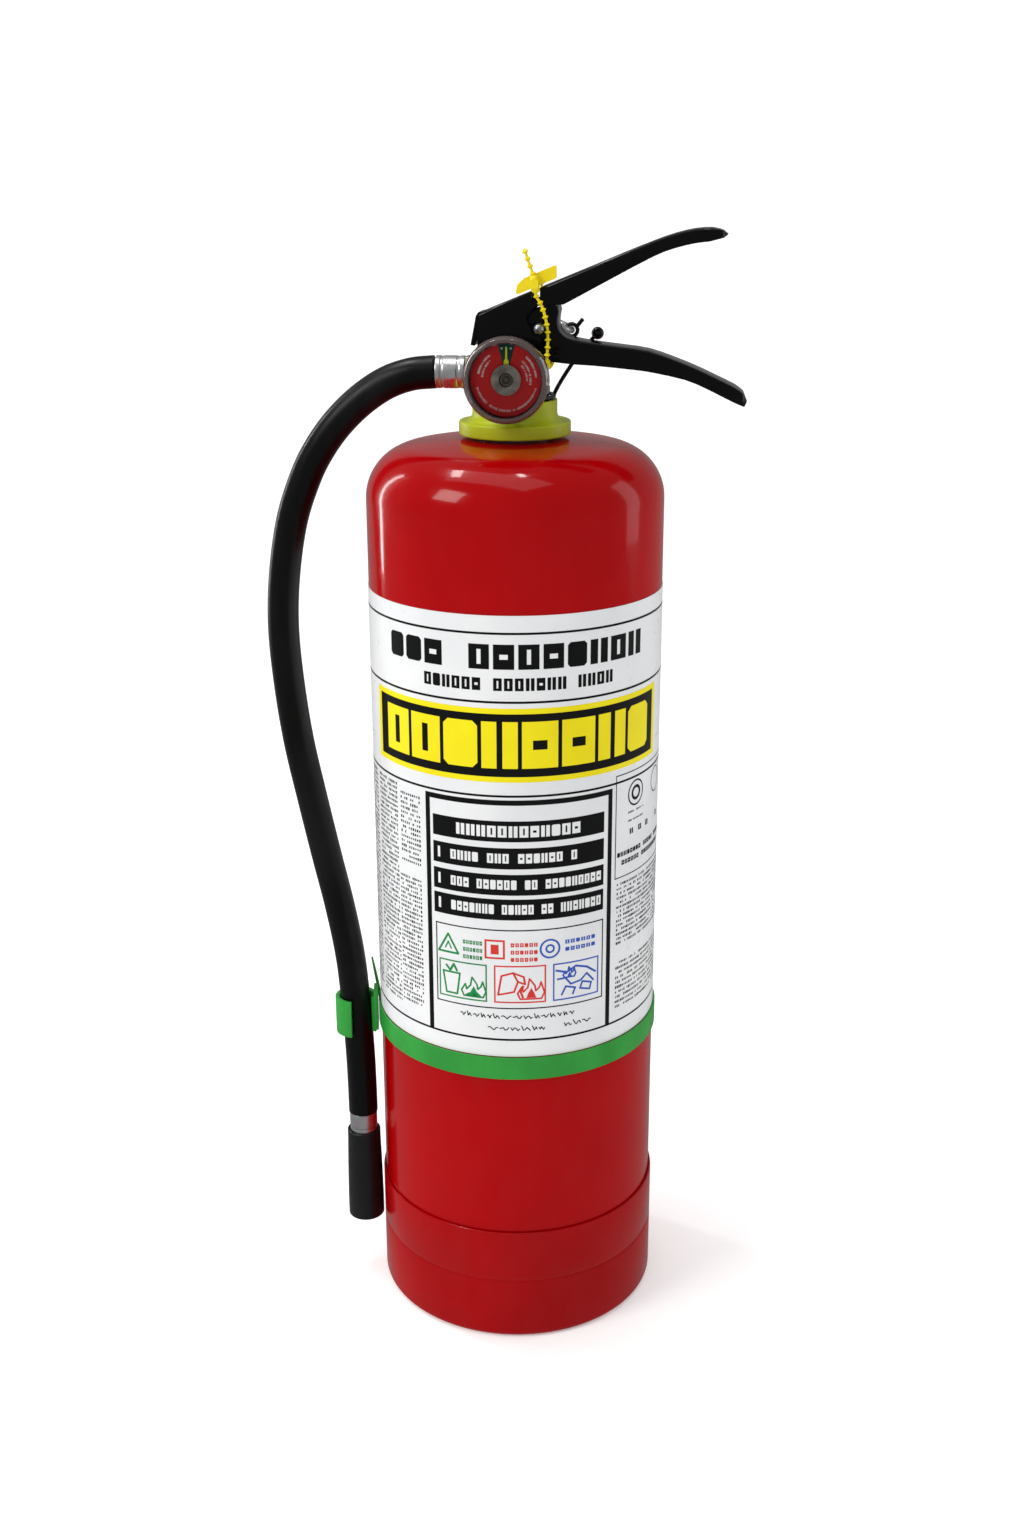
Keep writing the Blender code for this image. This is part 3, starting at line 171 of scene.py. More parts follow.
def smoothed(points: Sequence[Point], per: int) -> list[Vector]:
    """Runs a Catmull-Rom curve through points, with per pieces between each two.

    Args:
        points: the knots, in mm.
        per: pieces between two knots.

    Returns:
        Points along the curve, both ends included.
    """
    knots = [Vector(p) for p in points]
    knots = [2 * knots[0] - knots[1], *knots, 2 * knots[-1] - knots[-2]]
    result = []
    for a, b, c, d in zip(knots, knots[1:], knots[2:], knots[3:]):
        for k in range(per):
            t = k / per
            result.append(0.5 * (2 * b + (c - a) * t + (2 * a - 5 * b + 4 * c - d) * t * t
                                 + (3 * b - a - 3 * c + d) * t ** 3))
    return [*result, knots[-2]]


def dished(r: float, knuckle: float, rise: float, steps: int = 16) -> Profile:
    """Half a dished head from the tube to the axis, as (radius, height above the tangent line).

    Args:
        r: the tube's radius.
        knuckle: the small radius next to the tube.
        rise: the head's height at the axis.
        steps: pieces in each of its two arcs.

    Returns:
        The profile, in mm.
    """
    centre = r - knuckle
    crown = (centre ** 2 + rise ** 2 - knuckle ** 2) / (2 * (rise - knuckle))
    meet = math.atan2(crown - rise, centre)
    points = [(centre + knuckle * math.cos(meet * i / steps), knuckle * math.sin(meet * i / steps))
              for i in range(steps + 1)]
    for i in range(1, steps + 1):
        a = meet + (math.pi / 2 - meet) * i / steps
        points.append((max(crown * math.cos(a), 0.0), rise - crown + crown * math.sin(a)))
    return points


class Aim(Enum):
    """The way that the axis of a turned piece points."""

    UP = "up"
    FRONT = "front"
    OUTLET = "outlet"

    def place(self, r: float, angle: float, h: float) -> Vector:
        """The point at that radius, angle and distance along the axis."""
        c, s = r * math.cos(angle), r * math.sin(angle)
        return {Aim.UP: Vector((c, s, h)), Aim.FRONT: Vector((c, -h, s)), Aim.OUTLET: Vector((-h, c, s))}[self]


class Shape:
    """A mesh in the making, in millimetres about the tank's axis."""

    def __init__(self, name: str) -> None:
        """Starts an empty shape with that name."""
        self.name = name
        self.bm = bmesh.new()
        self.uv = self.bm.loops.layers.uv.new("along")

    def turned(self, profile: Profile, steps: int = 96, aim: Aim = Aim.UP, at: Point = (0, 0, 0),
               closed: bool = True) -> "Shape":
        """Turns a profile round an axis.

        Args:
            profile: (radius, distance along the axis) points.
            steps: pieces round.
            aim: where the axis points.
            at: a point that the axis passes through, from which distances are measured.
            closed: whether the last point joins the first; an open one starts and ends on the axis.

        Returns:
            The shape itself.
        """
        centre = Vector(at)
        rings = []
        for r, h in profile:
            rings.append([self.bm.verts.new(centre + aim.place(r, 2 * math.pi * i / steps, h))
                          for i in range(steps if r > 1e-6 else 1)])
        pairs = list(zip(rings, rings[1:])) + ([(rings[-1], rings[0])] if closed else [])
        for low, high in pairs:
            for i in range(steps):
                j = (i + 1) % steps
                corners = [low[i % len(low)], low[j % len(low)], high[j % len(high)], high[i % len(high)]]
                corners = [v for k, v in enumerate(corners) if v not in corners[:k]]
                if len(corners) > 2:
                    self.bm.faces.new(corners)
        return self

    def swept(self, points: Sequence[Point], radius: Union[float, Callable[[float], float]], sides: int = 16,
              rounded: bool = True, cyclic: bool = False) -> "Shape":
        """Sweeps a round section along a path, with its UV map in mm along the path.

        Args:
            points: the path.
            radius: the section's radius, or a function of how far along it is, from 0 to 1.
            sides: of the section.
            rounded: whether the ends are domes; otherwise they are flat.
            cyclic: whether the path is a loop.

        Returns:
            The shape itself.
        """
        path = [Vector(p) for p in points]
        count = len(path)
        lengths = [0.0]
        for a, b in zip(path, path[1:]):
            lengths.append(lengths[-1] + (b - a).length)
        size = radius if callable(radius) else (lambda _share: radius)
        ahead = [(path[(i + 1) % count] - path[i - 1]) if cyclic
                 else (path[min(i + 1, count - 1)] - path[max(i - 1, 0)]) for i in range(count)]
        side = ahead[0].orthogonal().normalized()
        rows = []
        for i, here in enumerate(path):
            along = ahead[i].normalized()
            side = (side - along * side.dot(along)).normalized()
            rows.append((here, side, along.cross(side), size(lengths[i] / lengths[-1]), lengths[i]))
        if rounded and not cyclic:
            for end, sign in ((0, -1.0), (-1, 1.0)):
                here, a, b, r, v = rows[end]
                along = ahead[end].normalized()
                dome = [(here + along * sign * r * math.sin(t), a, b, r * math.cos(t), v + sign * r * math.sin(t))
                        for t in (math.radians(k) for k in (25, 50, 75, 87))]
                rows = dome[::-1] + rows if end == 0 else rows + dome
        rings = [[self.bm.verts.new(here + (a * math.cos(t) + b * math.sin(t)) * r)
                  for t in (2 * math.pi * k / sides for k in range(sides))] for here, a, b, r, _ in rows]
        spans = list(range(len(rings) - 1)) + ([len(rings) - 1] if cyclic else [])
        for i in spans:
            low, high = rings[i], rings[(i + 1) % len(rings)]
            v0, v1 = rows[i][4], rows[(i + 1) % len(rings)][4]
            for k in range(sides):
                j = (k + 1) % sides
                face = self.bm.faces.new((low[k], low[j], high[j], high[k]))
                for loop, uv in zip(face.loops, ((k, v0), (k + 1, v0), (k + 1, v1), (k, v1))):
                    loop[self.uv].uv = (uv[0] / sides, uv[1])
        if not cyclic:
            self.bm.faces.new(rings[0][::-1])
            self.bm.faces.new(rings[-1])
        return self

    def plate(self, outline: Profile, low: float, high: float, front: bool = True, at: Point = (0, 0, 0)) -> "Shape":
        """Thickens a flat outline.

        Args:
            outline: its points, (x, z) for an upright plate, otherwise (x, y).
            low: where it begins across its plane.
            high: where it ends.
            front: whether the plate stands upright, with its thickness along Y.
            at: what is added to every point.

        Returns:
            The shape itself.
        """
        shift = Vector(at)
        sides = [[self.bm.verts.new(shift + (Vector((a, d, b)) if front else Vector((a, b, d)))) for a, b in outline]
                 for d in (low, high)]
        self.bm.faces.new(sides[0])
        self.bm.faces.new(sides[1][::-1])
        for i in range(len(outline)):
            j = (i + 1) % len(outline)
            self.bm.faces.new((sides[0][j], sides[0][i], sides[1][i], sides[1][j]))
        return self

    def done(self, *finishes: "Finish", crisp: float = 38.0, closed: bool = True) -> Object:
        """Makes the object, in metres in the model's frame.

        Args:
            finishes: in the order of the faces' material numbers.
            crisp: the angle in degrees past which an edge stays sharp.
            closed: whether the mesh is a closed solid whose normals are worked out afresh.

        Returns:
            The object, at the origin, with its place in its mesh.
        """
        bmesh.ops.remove_doubles(self.bm, verts=self.bm.verts, dist=1e-4)
        if closed:
            bmesh.ops.recalc_face_normals(self.bm, faces=self.bm.faces)
        mesh = bpy.data.meshes.new(self.name)
        self.bm.to_mesh(mesh)
        self.bm.free()
        mesh.transform(Matrix.Translation((AXIS_X, 0, 0)) @ Matrix.Scale(MM, 4))
        for finish in finishes:
            mesh.materials.append(finish.material())
        mesh.shade_smooth()
        mesh.set_sharp_from_angle(angle=math.radians(crisp))
        return linked(self.name, mesh)


def settled(obj: Object, crisp: float = 38.0) -> Object:
    """Bakes an object's modifiers into a plain mesh.

    Args:
        obj: the object, which keeps its name.
        crisp: the angle in degrees past which an edge stays sharp.

    Returns:
        The same object, with no modifiers left.
    """
    bpy.context.view_layer.update()
    evaluated = obj.evaluated_get(bpy.context.evaluated_depsgraph_get())
    mesh = bpy.data.meshes.new_from_object(evaluated)
    obj.modifiers.clear()
    old, obj.data = obj.data, mesh
    mesh.name = obj.name
    if not old.users:
        bpy.data.batch_remove([old])
    mesh.shade_smooth()
    mesh.set_sharp_from_angle(angle=math.radians(crisp))
    return obj


def softened(node: str, finish: "Finish", edge: float = 0.25, crisp: float = 40.0, flat: float = 0.4) -> Object:
    """Makes a finished piece from a CAD node whose form is right: its edges are eased and its faces smoothed.

    Args:
        node: the node's name.
        finish: what its surface is.
        edge: the width of the eased edge, in mm.
        crisp: the angle in degrees past which an edge is eased.
        flat: faces that meet at less than this many degrees become one before the easing.

    Returns:
        The piece.
    """
    bm = bmesh.new()
    bm.from_mesh(frame["nodes"][node].data)
    bmesh.ops.remove_doubles(bm, verts=bm.verts, dist=2e-6)
    bmesh.ops.dissolve_limit(bm, angle_limit=math.radians(flat), verts=bm.verts, edges=bm.edges)
    mesh = bpy.data.meshes.new(node + "_finished")
    bm.to_mesh(mesh)
    bm.free()
    mesh.materials.append(finish.material())
    obj = linked(mesh.name, mesh)
    if edge:
        ease = obj.modifiers.new("eased edges", "BEVEL")
        ease.width = edge * MM
        ease.segments = 2
        ease.limit_method = "ANGLE"
        ease.angle_limit = math.radians(crisp)
        ease.use_clamp_overlap = True
    return settled(obj, crisp)


def fit(obj: Object, body: str, slot: str, *nodes: str) -> Object:
    """Puts a finished piece on its body and hides the CAD nodes that it stands for.

    Args:
        obj: the piece.
        body: the CAD body it moves with.
        slot: the record's material slot of its finish; not used.
        nodes: the CAD nodes that it stands for.

    Returns:
        The same piece.
    """
    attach(obj, body)
    if nodes:
        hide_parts(*nodes)
    LOG.info("%s rides on %s with %d faces", obj.name, body, len(obj.data.polygons))
    return obj


# Finishes ------------------------------------------------------------------------------------------

@dataclass(frozen=True)
class Grain:
    """A noise in a finish: its grains' width in mm, its octaves, its pace along each axis, and what it is mapped to."""

    size: float
    detail: float
    pace: Point = (1, 1, 1)
    low: float = 0.0
    high: float = 1.0
    edges: tuple[float, float] = (0.35, 0.65)

    def noise(self, tree: NodeTree, here: NodeSocket) -> Node:
        """Adds the noise to a tree, at coordinates in metres."""
        spot = add(tree, "ShaderNodeMapping", {"Vector": here, "Scale": self.pace})
        return add(tree, "ShaderNodeTexNoise", {"Vector": spot, "Scale": 1 / (self.size * MM), "Detail": self.detail})

    def mapped(self, tree: NodeTree, here: NodeSocket) -> Node:
        """Adds the noise, with the middle of its range spread from low to high."""
        return add(tree, "ShaderNodeMapRange", {
            "Value": self.noise(tree, here), "From Min": self.edges[0], "From Max": self.edges[1],
            "To Min": self.low, "To Max": self.high})


@dataclass(frozen=True)
class Finish:
    """What every finish shares: its name, base colour and roughness, and the one material made from them."""

    name: str
    colour: str
    roughness: float = 0.4

    def material(self) -> Material:
        """The material, built at its first use.

        Returns:
            The material.
        """
        found = bpy.data.materials.get(self.name)
        if found:
            return found
        material = bpy.data.materials.new(self.name)
        material.use_nodes = True
        tree = material.node_tree
        tree.nodes.clear()
        coords = add(tree, "ShaderNodeTexCoord")
        shader = add(tree, "ShaderNodeBsdfPrincipled", {"Base Color": srgb(self.colour), "Roughness": self.roughness})
        add(tree, "ShaderNodeOutputMaterial", {"Surface": shader})
        self.dress(tree, shader, coords)
        return material

    def dress(self, tree: NodeTree, shader: Node, coords: Node) -> None:
        """Adds the finish's own detail to the shader."""

    def uneven(self, least: float, most: float) -> dict[str, float]:
        """The range of a Grain that makes the roughness vary between two shares of its own value."""
        return {"low": self.roughness * least, "high": self.roughness * most}

    def surface(self, tree: NodeTree, shader: Node, here: NodeSocket, second: str,
                tone: Grain, wear: Optional[Grain], skin: Grain, depth: float,
                under: Optional[Node] = None) -> None:
        """Gives the shader a drift of colour, an uneven shine and a fine relief.

        Args:
            tree: the material's tree.
            shader: its shader.
            here: coordinates in metres.
            second: the colour that the base colour drifts to.
            tone: the noise of that drift.
            wear: the noise of the shine, or None where it is even.
            skin: the noise of the relief.
            depth: of the relief, in mm.
            under: a relief that this one lies on.
        """
        colour = add(tree, "ShaderNodeMix", {0: tone.mapped(tree, here), 6: srgb(self.colour), 7: srgb(second)},
                     data_type="RGBA")
        tree.links.new(colour.outputs[2], shader.inputs["Base Color"])
        if wear:
            tree.links.new(wear.mapped(tree, here).outputs[0], shader.inputs["Roughness"])
        bump = {"Height": skin.noise(tree, here), "Distance": depth * MM, "Strength": 1.0}
        if under:
            bump["Normal"] = under
        tree.links.new(add(tree, "ShaderNodeBump", bump).outputs[0], shader.inputs["Normal"])

    @staticmethod
    def even(shader: Node, **values: object) -> None:
        """Sets what is the same all over the surface, with the sockets' names in small letters."""
        known = {socket.name.lower().replace(" ", "_"): socket for socket in shader.inputs}
        for name, value in values.items():
            known[name].default_value = value


@dataclass(frozen=True)
class Enamel(Finish):
    """Stoved enamel: sprayed on steel and baked, so it is very glossy, with a faint orange peel."""

    shade: str = "#000000"
    peel: float = 1.6
    depth: float = 0.004
    coat: float = 0.5

    def dress(self, tree: NodeTree, shader: Node, coords: Node) -> None:
        """Adds orange peel, a slow drift of film thickness and faint handling marks."""
        self.surface(tree, shader, coords.outputs["Object"], self.shade, Grain(85, 3),
                     Grain(9, 6, (1, 1, 0.35), **self.uneven(0.75, 1.35)), Grain(self.peel, 1), self.depth)
        self.even(shader, specular_ior_level=0.1, coat_weight=self.coat, coat_roughness=0.04, coat_ior=1.45)


@dataclass(frozen=True)
class Metal(Finish):
    """Bare or plated metal, with the fine lines that turning, drawing or brushing leaves."""

    lines: float = 0.35
    along: Point = (1, 1, 1)
    depth: float = 0.003
    tint: str = "#8A8A88"

    def dress(self, tree: NodeTree, shader: Node, coords: Node) -> None:
        """Adds tool lines, cloudy polishing and a slight tarnish."""
        self.surface(tree, shader, coords.outputs["Object"], self.tint, Grain(5, 4, high=0.6),
                     Grain(5, 4, **self.uneven(0.8, 1.3)), Grain(self.lines, 2, self.along), self.depth)
        self.even(shader, metallic=1.0)


@dataclass(frozen=True)
class Moulding(Finish):
    """Injection-moulded plastic: a satin skin copied from the mould, and colour that varies a little in depth."""

    shade: str = "#000000"
    grain: float = 0.5
    depth: float = 0.006
    glow: float = 0.0

    def dress(self, tree: NodeTree, shader: Node, coords: Node) -> None:
        """Adds the mould's spark-eroded grain, flow marks and worn, shinier spots."""
        self.surface(tree, shader, coords.outputs["Object"], self.shade, Grain(14, 3, (1, 1, 0.4)),
                     Grain(3, 4, **self.uneven(0.8, 1.2)), Grain(self.grain, 2), self.depth)
        self.even(shader, ior=1.49, specular_ior_level=0.35)
        if self.glow:
            self.even(shader, subsurface_weight=self.glow, subsurface_radius=(0.002, 0.002, 0.001),
                      subsurface_scale=0.5)


@dataclass(frozen=True)
class HoseRubber(Finish):
    """Extruded rubber cured in a cloth wrap: semi-gloss, with the wrap's faint slanting lines and a little bloom."""

    bloom: str = "#141517"
    wrap: float = 1.1
    wrap_depth: float = 0.012

    def dress(self, tree: NodeTree, shader: Node, coords: Node) -> None:
        """Adds the cloth's imprint from the UV map, whose V is in mm, and patches of dusty bloom."""
        spot = add(tree, "ShaderNodeMapping", {"Vector": coords.outputs["UV"], "Scale": (6.0, 1 / self.wrap, 1)})
        wave = add(tree, "ShaderNodeTexWave", {"Vector": spot, "Scale": 1.0, "Distortion": 0.6, "Detail": 2},
                   wave_type="BANDS", bands_direction="DIAGONAL")
        imprint = add(tree, "ShaderNodeBump", {"Height": wave.outputs["Fac"], "Distance": self.wrap_depth * MM,
                                               "Strength": 1.0})
        self.surface(tree, shader, coords.outputs["Object"], self.bloom,
                     Grain(22, 5, (1, 1, 0.3), 0.0, 0.8, (0.45, 0.75)),
                     Grain(22, 5, (1, 1, 0.3), **self.uneven(0.8, 1.3)), Grain(0.9, 3), 0.01, imprint)
        self.even(shader, specular_ior_level=0.25)


@dataclass(frozen=True)
class Film(Finish):
    """Printed vinyl under a clear film: smooth, with a faint quilting where it lies on the tank."""

    shade: str = "#FFFFFF"

    def dress(self, tree: NodeTree, shader: Node, coords: Node) -> None:
        """Adds slight waves of the film and an uneven whiteness."""
        self.surface(tree, shader, coords.outputs["Object"], self.shade, Grain(40, 3),
                     Grain(6, 3, **self.uneven(0.85, 1.2)), Grain(7, 2), 0.008)
        self.even(shader, specular_ior_level=0.2, coat_weight=0.12, coat_roughness=0.12)


@dataclass(frozen=True)
class ClearCap(Finish):
    """Clear polycarbonate, moulded: the flat front is nearly unseen, and the thick rim looks smoky brown."""

    front: float = 15.6
    ior: float = 1.58
    behind: str = "#0C0C0C"

    def dress(self, tree: NodeTree, shader: Node, coords: Node) -> None:
        """Lets the front window through and keeps the rim, by the distance from the gauge's axis."""
        here = coords.outputs["Object"]
        spot = add(tree, "ShaderNodeMapping", {"Vector": here, "Location": (-AXIS_X, 0, -PORT_Z * MM)})
        flat = add(tree, "ShaderNodeVectorMath", {0: spot, 1: (1, 0, 1)}, operation="MULTIPLY")
        away = add(tree, "ShaderNodeVectorMath", {0: flat}, operation="LENGTH").outputs["Value"]
        rim = add(tree, "ShaderNodeMapRange", {"Value": away, "From Min": (self.front - 0.3) * MM,
                                               "From Max": (self.front + 0.3) * MM})
        gloss = add(tree, "ShaderNodeFresnel", {"IOR": self.ior})
        window = add(tree, "ShaderNodeMapRange", {"Value": gloss, "From Min": 0.05, "To Min": 0.02, "To Max": 0.9})
        body = Grain(6, 3, low=0.72, high=0.88).mapped(tree, here)
        alpha = add(tree, "ShaderNodeMix", {0: rim, 2: window, 3: body}, data_type="FLOAT")
        tree.links.new(alpha.outputs[0], shader.inputs["Alpha"])
        colour = add(tree, "ShaderNodeMix", {0: rim, 6: srgb(self.behind), 7: srgb(self.colour)}, data_type="RGBA")
        tree.links.new(colour.outputs[2], shader.inputs["Base Color"])
        self.even(shader, ior=self.ior, coat_weight=1.0, coat_roughness=0.02)


@dataclass(frozen=True)
class Powder(Finish):
    """Fluidised dry powder: pale, matt and a little lumpy."""

    drift: str = "#D9D5B8"

    def dress(self, tree: NodeTree, shader: Node, coords: Node) -> None:
        """Adds lumps and paler drifts."""
        self.surface(tree, shader, coords.outputs["Object"], self.drift, Grain(4, 5, edges=(0.0, 1.0)), None,
                     Grain(1.2, 6), 0.2)


# Deep signal red stoved on the steel tank: even, very glossy, darker only where the film is thick.
RED_ENAMEL = Enamel("stoved signal-red enamel on steel", "#AC0005", 0.16, "#A00004", 1.7, 0.0025, 0.28)
# The same enamel on the rolled skirt, where the foot's handling leaves it a little duller.
SKIRT_ENAMEL = Enamel("stoved signal-red enamel on the rolled skirt", "#A80006", 0.2, "#980004", 1.5, 0.003, 0.3)
# Gloss black powder coat on pressed steel: the bends catch a thin bluish light.
BLACK_ENAMEL = Enamel("gloss black powder coat on pressed steel", "#030304", 0.18, "#060708", 0.9, 0.004, 0.22)
# White vinyl under a clear film: bright and slightly shiny.
LABEL_FILM = Film("white self-adhesive vinyl, laminated", "#EDEEEF", 0.32, "#E4E6E8")
# The inks lie under the same film, so they share its slight shine: a black that is never quite black,
INK_BLACK = Film("black screen ink under film", "#08090A", 0.34, "#0C0D0E")
# a white just warmer than the vinyl,
INK_WHITE = Film("white screen ink under film", "#F0F1F1", 0.34, "#E6E8E8")
# a strong lemon yellow that shows from across a room,
INK_YELLOW = Film("yellow screen ink under film", "#F8EA08", 0.34, "#F1DF00")
# and the green, red and blue of the fire classes.
INK_GREEN = Film("green screen ink under film", "#1E8F4A", 0.34, "#1A8142")
INK_RED = Film("red screen ink under film", "#DF3A34", 0.34, "#D22F2B")
INK_BLUE = Film("blue screen ink under film", "#3A5FC0", 0.34, "#3054B4")
# Satin green polypropylene, slightly soft in light.
GREEN_MOULDING = Moulding("green moulded polypropylene", "#2EA03A", 0.36, "#289434", 0.6, 0.006, 0.08)
# Waxy lime polythene: light spreads a little under its skin.
LIME_MOULDING = Moulding("lime-yellow moulded polythene", "#B8C414", 0.38, "#ABB70E", 0.6, 0.008, 0.12)
# Thin yellow polythene that lets some light through.
SEAL_MOULDING = Moulding("yellow moulded polythene seal", "#F7E418", 0.34, "#EED60C", 0.5, 0.006, 0.15)
# Black nylon with a smooth, fairly shiny skin.
TETHER_MOULDING = Moulding("black moulded nylon tether", "#0C0D0F", 0.24, "#131416", 0.5, 0.004)
# Black nylon from a textured mould: satin and a little grey.
NOZZLE_MOULDING = Moulding("black moulded nylon nozzle", "#0F1012", 0.36, "#17181B", 0.45, 0.008)
# Deep black rubber whose slanting wrap lines break up its shine.
HOSE_SKIN = HoseRubber("black cloth-cured rubber hose", "#030303", 0.34)
# Dull black nitrile.
SEAL_RUBBER = Moulding("black nitrile rubber", "#141516", 0.6, "#1C1D1F", 0.4, 0.01)
# Warm silver plate on turned brass.
NICKEL = Metal("nickel-plated turned brass", "#C9C4B8", 0.24, 0.3, (1, 1, 1), 0.003, "#A9A294")
# Cool, slightly clouded zinc plate.
STEEL = Metal("zinc-plated steel", "#B9BBBE", 0.32, 0.4, (1, 1, 1), 0.004, "#96989B")
# Drawn tube: bright, with lines that run along it.
ALUMINIUM = Metal("drawn aluminium, polished", "#E6E7E9", 0.3, 0.25, (0.1, 1, 1), 0.002, "#C3C4C6")
# Chrome that mirrors dark surroundings.
CASE_CHROME = Metal("chromed pressed steel", "#8F8A88", 0.2, 0.5, (1, 1, 1), 0.002, "#6F6A68")
# Brushed strip, seen edge on: pale and silky.
COIL_METAL = Metal("brushed nickel-silver coil", "#E4DED4", 0.42, 0.22, (1, 1, 1), 0.006, "#8A8479")
# The same strip deep in the coil's middle, where less light gets.
COIL_DARK = Metal("shadowed nickel-silver coil centre", "#7E786E", 0.34, 0.22, (1, 1, 1), 0.006, "#5F594F")
# Printed sheet metal behind the cap: flat, saturated colours,
DIAL_RED = Film("deep red dial print on aluminium sheet", "#D4020C", 0.4, "#C80008")
# a dark teal working zone,
DIAL_ZONE = Film("dark teal dial print", "#06413E", 0.4, "#053734")
# pale marks, and pale green dots in the zone.
DIAL_WHITE = Film("pale dial print", "#E6D3D2", 0.4, "#DCC6C5")
DIAL_DOT = Film("pale green dial print", "#8FD0C0", 0.4, "#82C4B4")
# Bright yellow paint, a little glossy.
POINTER_PAINT = Moulding("yellow painted pointer", "#E8E80C", 0.35, "#DDDC06", 0.3, 0.003)
# Clear cap with a smoky edge.
CAP_CLEAR = ClearCap("clear moulded polycarbonate cap", "#544644", 0.08)
# Matt, pale and lumpy.
POWDER = Powder("pale dry powder", "#E8E4CB", 0.9)
# Studio paper: matt, near white, with a faint glow of its own.
PAPER = Film("matt white studio paper", "#F9F9F9", 0.9, "#F7F7F7")


# Geometry Nodes ------------------------------------------------------------------------------------

class Repeats:
    """Trees that make what repeats, each built once and used with its own values."""

    @staticmethod
    def tree(name: str, inputs: dict[str, object]) -> tuple[NodeTree, Mapping[str, NodeSocket]]:
        """Starts a tree with named inputs, and one more for the material.

        Args:
            name: the tree's name.
            inputs: each input's first value, whose type is the socket's.

        Returns:
            The tree and the sockets that give its inputs.
        """
        tree = bpy.data.node_groups.new(name, "GeometryNodeTree")
        kinds = {int: "NodeSocketInt", float: "NodeSocketFloat", tuple: "NodeSocketVector"}
        for way in ("OUTPUT", "INPUT"):
            tree.interface.new_socket("Geometry", in_out=way, socket_type="NodeSocketGeometry")
        for label, value in inputs.items():
            tree.interface.new_socket(label, in_out="INPUT", socket_type=kinds[type(value)]).default_value = value
        tree.interface.new_socket("Material", in_out="INPUT", socket_type="NodeSocketMaterial")
        return tree, add(tree, "NodeGroupInput").outputs

    @staticmethod
    def ended(tree: NodeTree, geometry: Node,
              given: Mapping[str, NodeSocket]) -> NodeTree:
        """Ends a tree: what was made gets its material and goes out."""
        painted = add(tree, "GeometryNodeSetMaterial", {"Geometry": geometry, "Material": given["Material"]})
        add(tree, "NodeGroupOutput", {"Geometry": painted})
        return tree

    @staticmethod
    def run(tree: NodeTree, mesh: Mesh, values: dict[str, object],
            crisp: float = 38.0) -> Object:
        """Runs a tree on a mesh and keeps the result as a plain mesh.

        Args:
            tree: the tree.
            mesh: what it starts from, which also names the object.
            values: its inputs by name.
            crisp: the angle in degrees past which an edge stays sharp.

        Returns:
            The object.
        """
        obj = linked(mesh.name, mesh)
        modifier = obj.modifiers.new(tree.name, "NODES")
        modifier.node_group = tree
        known = {item.name: item.identifier for item in tree.interface.items_tree if item.in_out == "INPUT"}
        for label, value in values.items():
            modifier[known[label]] = value
        return settled(obj, crisp)

    @staticmethod
    def beads() -> NodeTree:
        """Pointed beads on a strand: edges become a cord, with a bead at every step along it.

        Returns:
            The tree.
        """
        tree, given = Repeats.tree("beads on a strand", {
            "Step": 3.1 * MM, "Bead Radius": 1.5 * MM, "Bead Length": 2.6 * MM, "Strand Radius": 0.65 * MM})
        strand = add(tree, "GeometryNodeMeshToCurve", {"Mesh": given["Geometry"]})
        profile = add(tree, "GeometryNodeCurvePrimitiveCircle", {"Resolution": 10, "Radius": given["Strand Radius"]})
        core = add(tree, "GeometryNodeCurveToMesh", {"Curve": strand, "Profile Curve": profile, "Fill Caps": True})
        steps = add(tree, "GeometryNodeResampleCurve", {"Curve": strand, "Length": given["Step"]}, mode="LENGTH")
        bead = add(tree, "GeometryNodeMeshUVSphere", {"Segments": 12, "Rings": 2, "Radius": 1.0})
        flatten = add(tree, "ShaderNodeCombineXYZ", {0: given["Bead Radius"], 1: given["Bead Radius"],
                                                     2: given["Bead Length"]})
        half = add(tree, "ShaderNodeVectorMath", {0: flatten, 1: (1, 1, 0.5)}, operation="MULTIPLY")
        aligned = add(tree, "FunctionNodeAlignRotationToVector", {"Vector": add(tree, "GeometryNodeInputTangent")},
                      axis="Z")
        placed = add(tree, "GeometryNodeInstanceOnPoints", {"Points": steps, "Instance": bead, "Rotation": aligned,
                                                            "Scale": half})
        both = add(tree, "GeometryNodeJoinGeometry")
        for piece in (core, placed):
            tree.links.new(piece.outputs[0], both.inputs[0])
        return Repeats.ended(tree, add(tree, "GeometryNodeRealizeInstances", {0: both}), given)

    @staticmethod
    def marks(tree: NodeTree, given: Mapping[str, NodeSocket], least: Point,
              most: Point) -> tuple[NodeSocket, Node, Node]:
        """Adds what all small print shares.

        Args:
            tree: the tree.
            given: its inputs.
            least: the smallest scale of a mark.
            most: the largest.

        Returns:
            Which places are gaps, the mark, and the scale of each.
        """
        gap = add(tree, "FunctionNodeRandomValue", {"Probability": given["Gaps"], "Seed": given["Seed"]},
                  data_type="BOOLEAN")
        mark = add(tree, "GeometryNodeMeshGrid", {"Size X": given["Mark Width"], "Size Y": given["Mark Height"],
                                                  "Vertices X": 2, "Vertices Y": 2})
        varied = add(tree, "FunctionNodeRandomValue", {0: least, 1: most, "Seed": given["Seed"]},
                     data_type="FLOAT_VECTOR")
        return gap.outputs[3], mark, varied

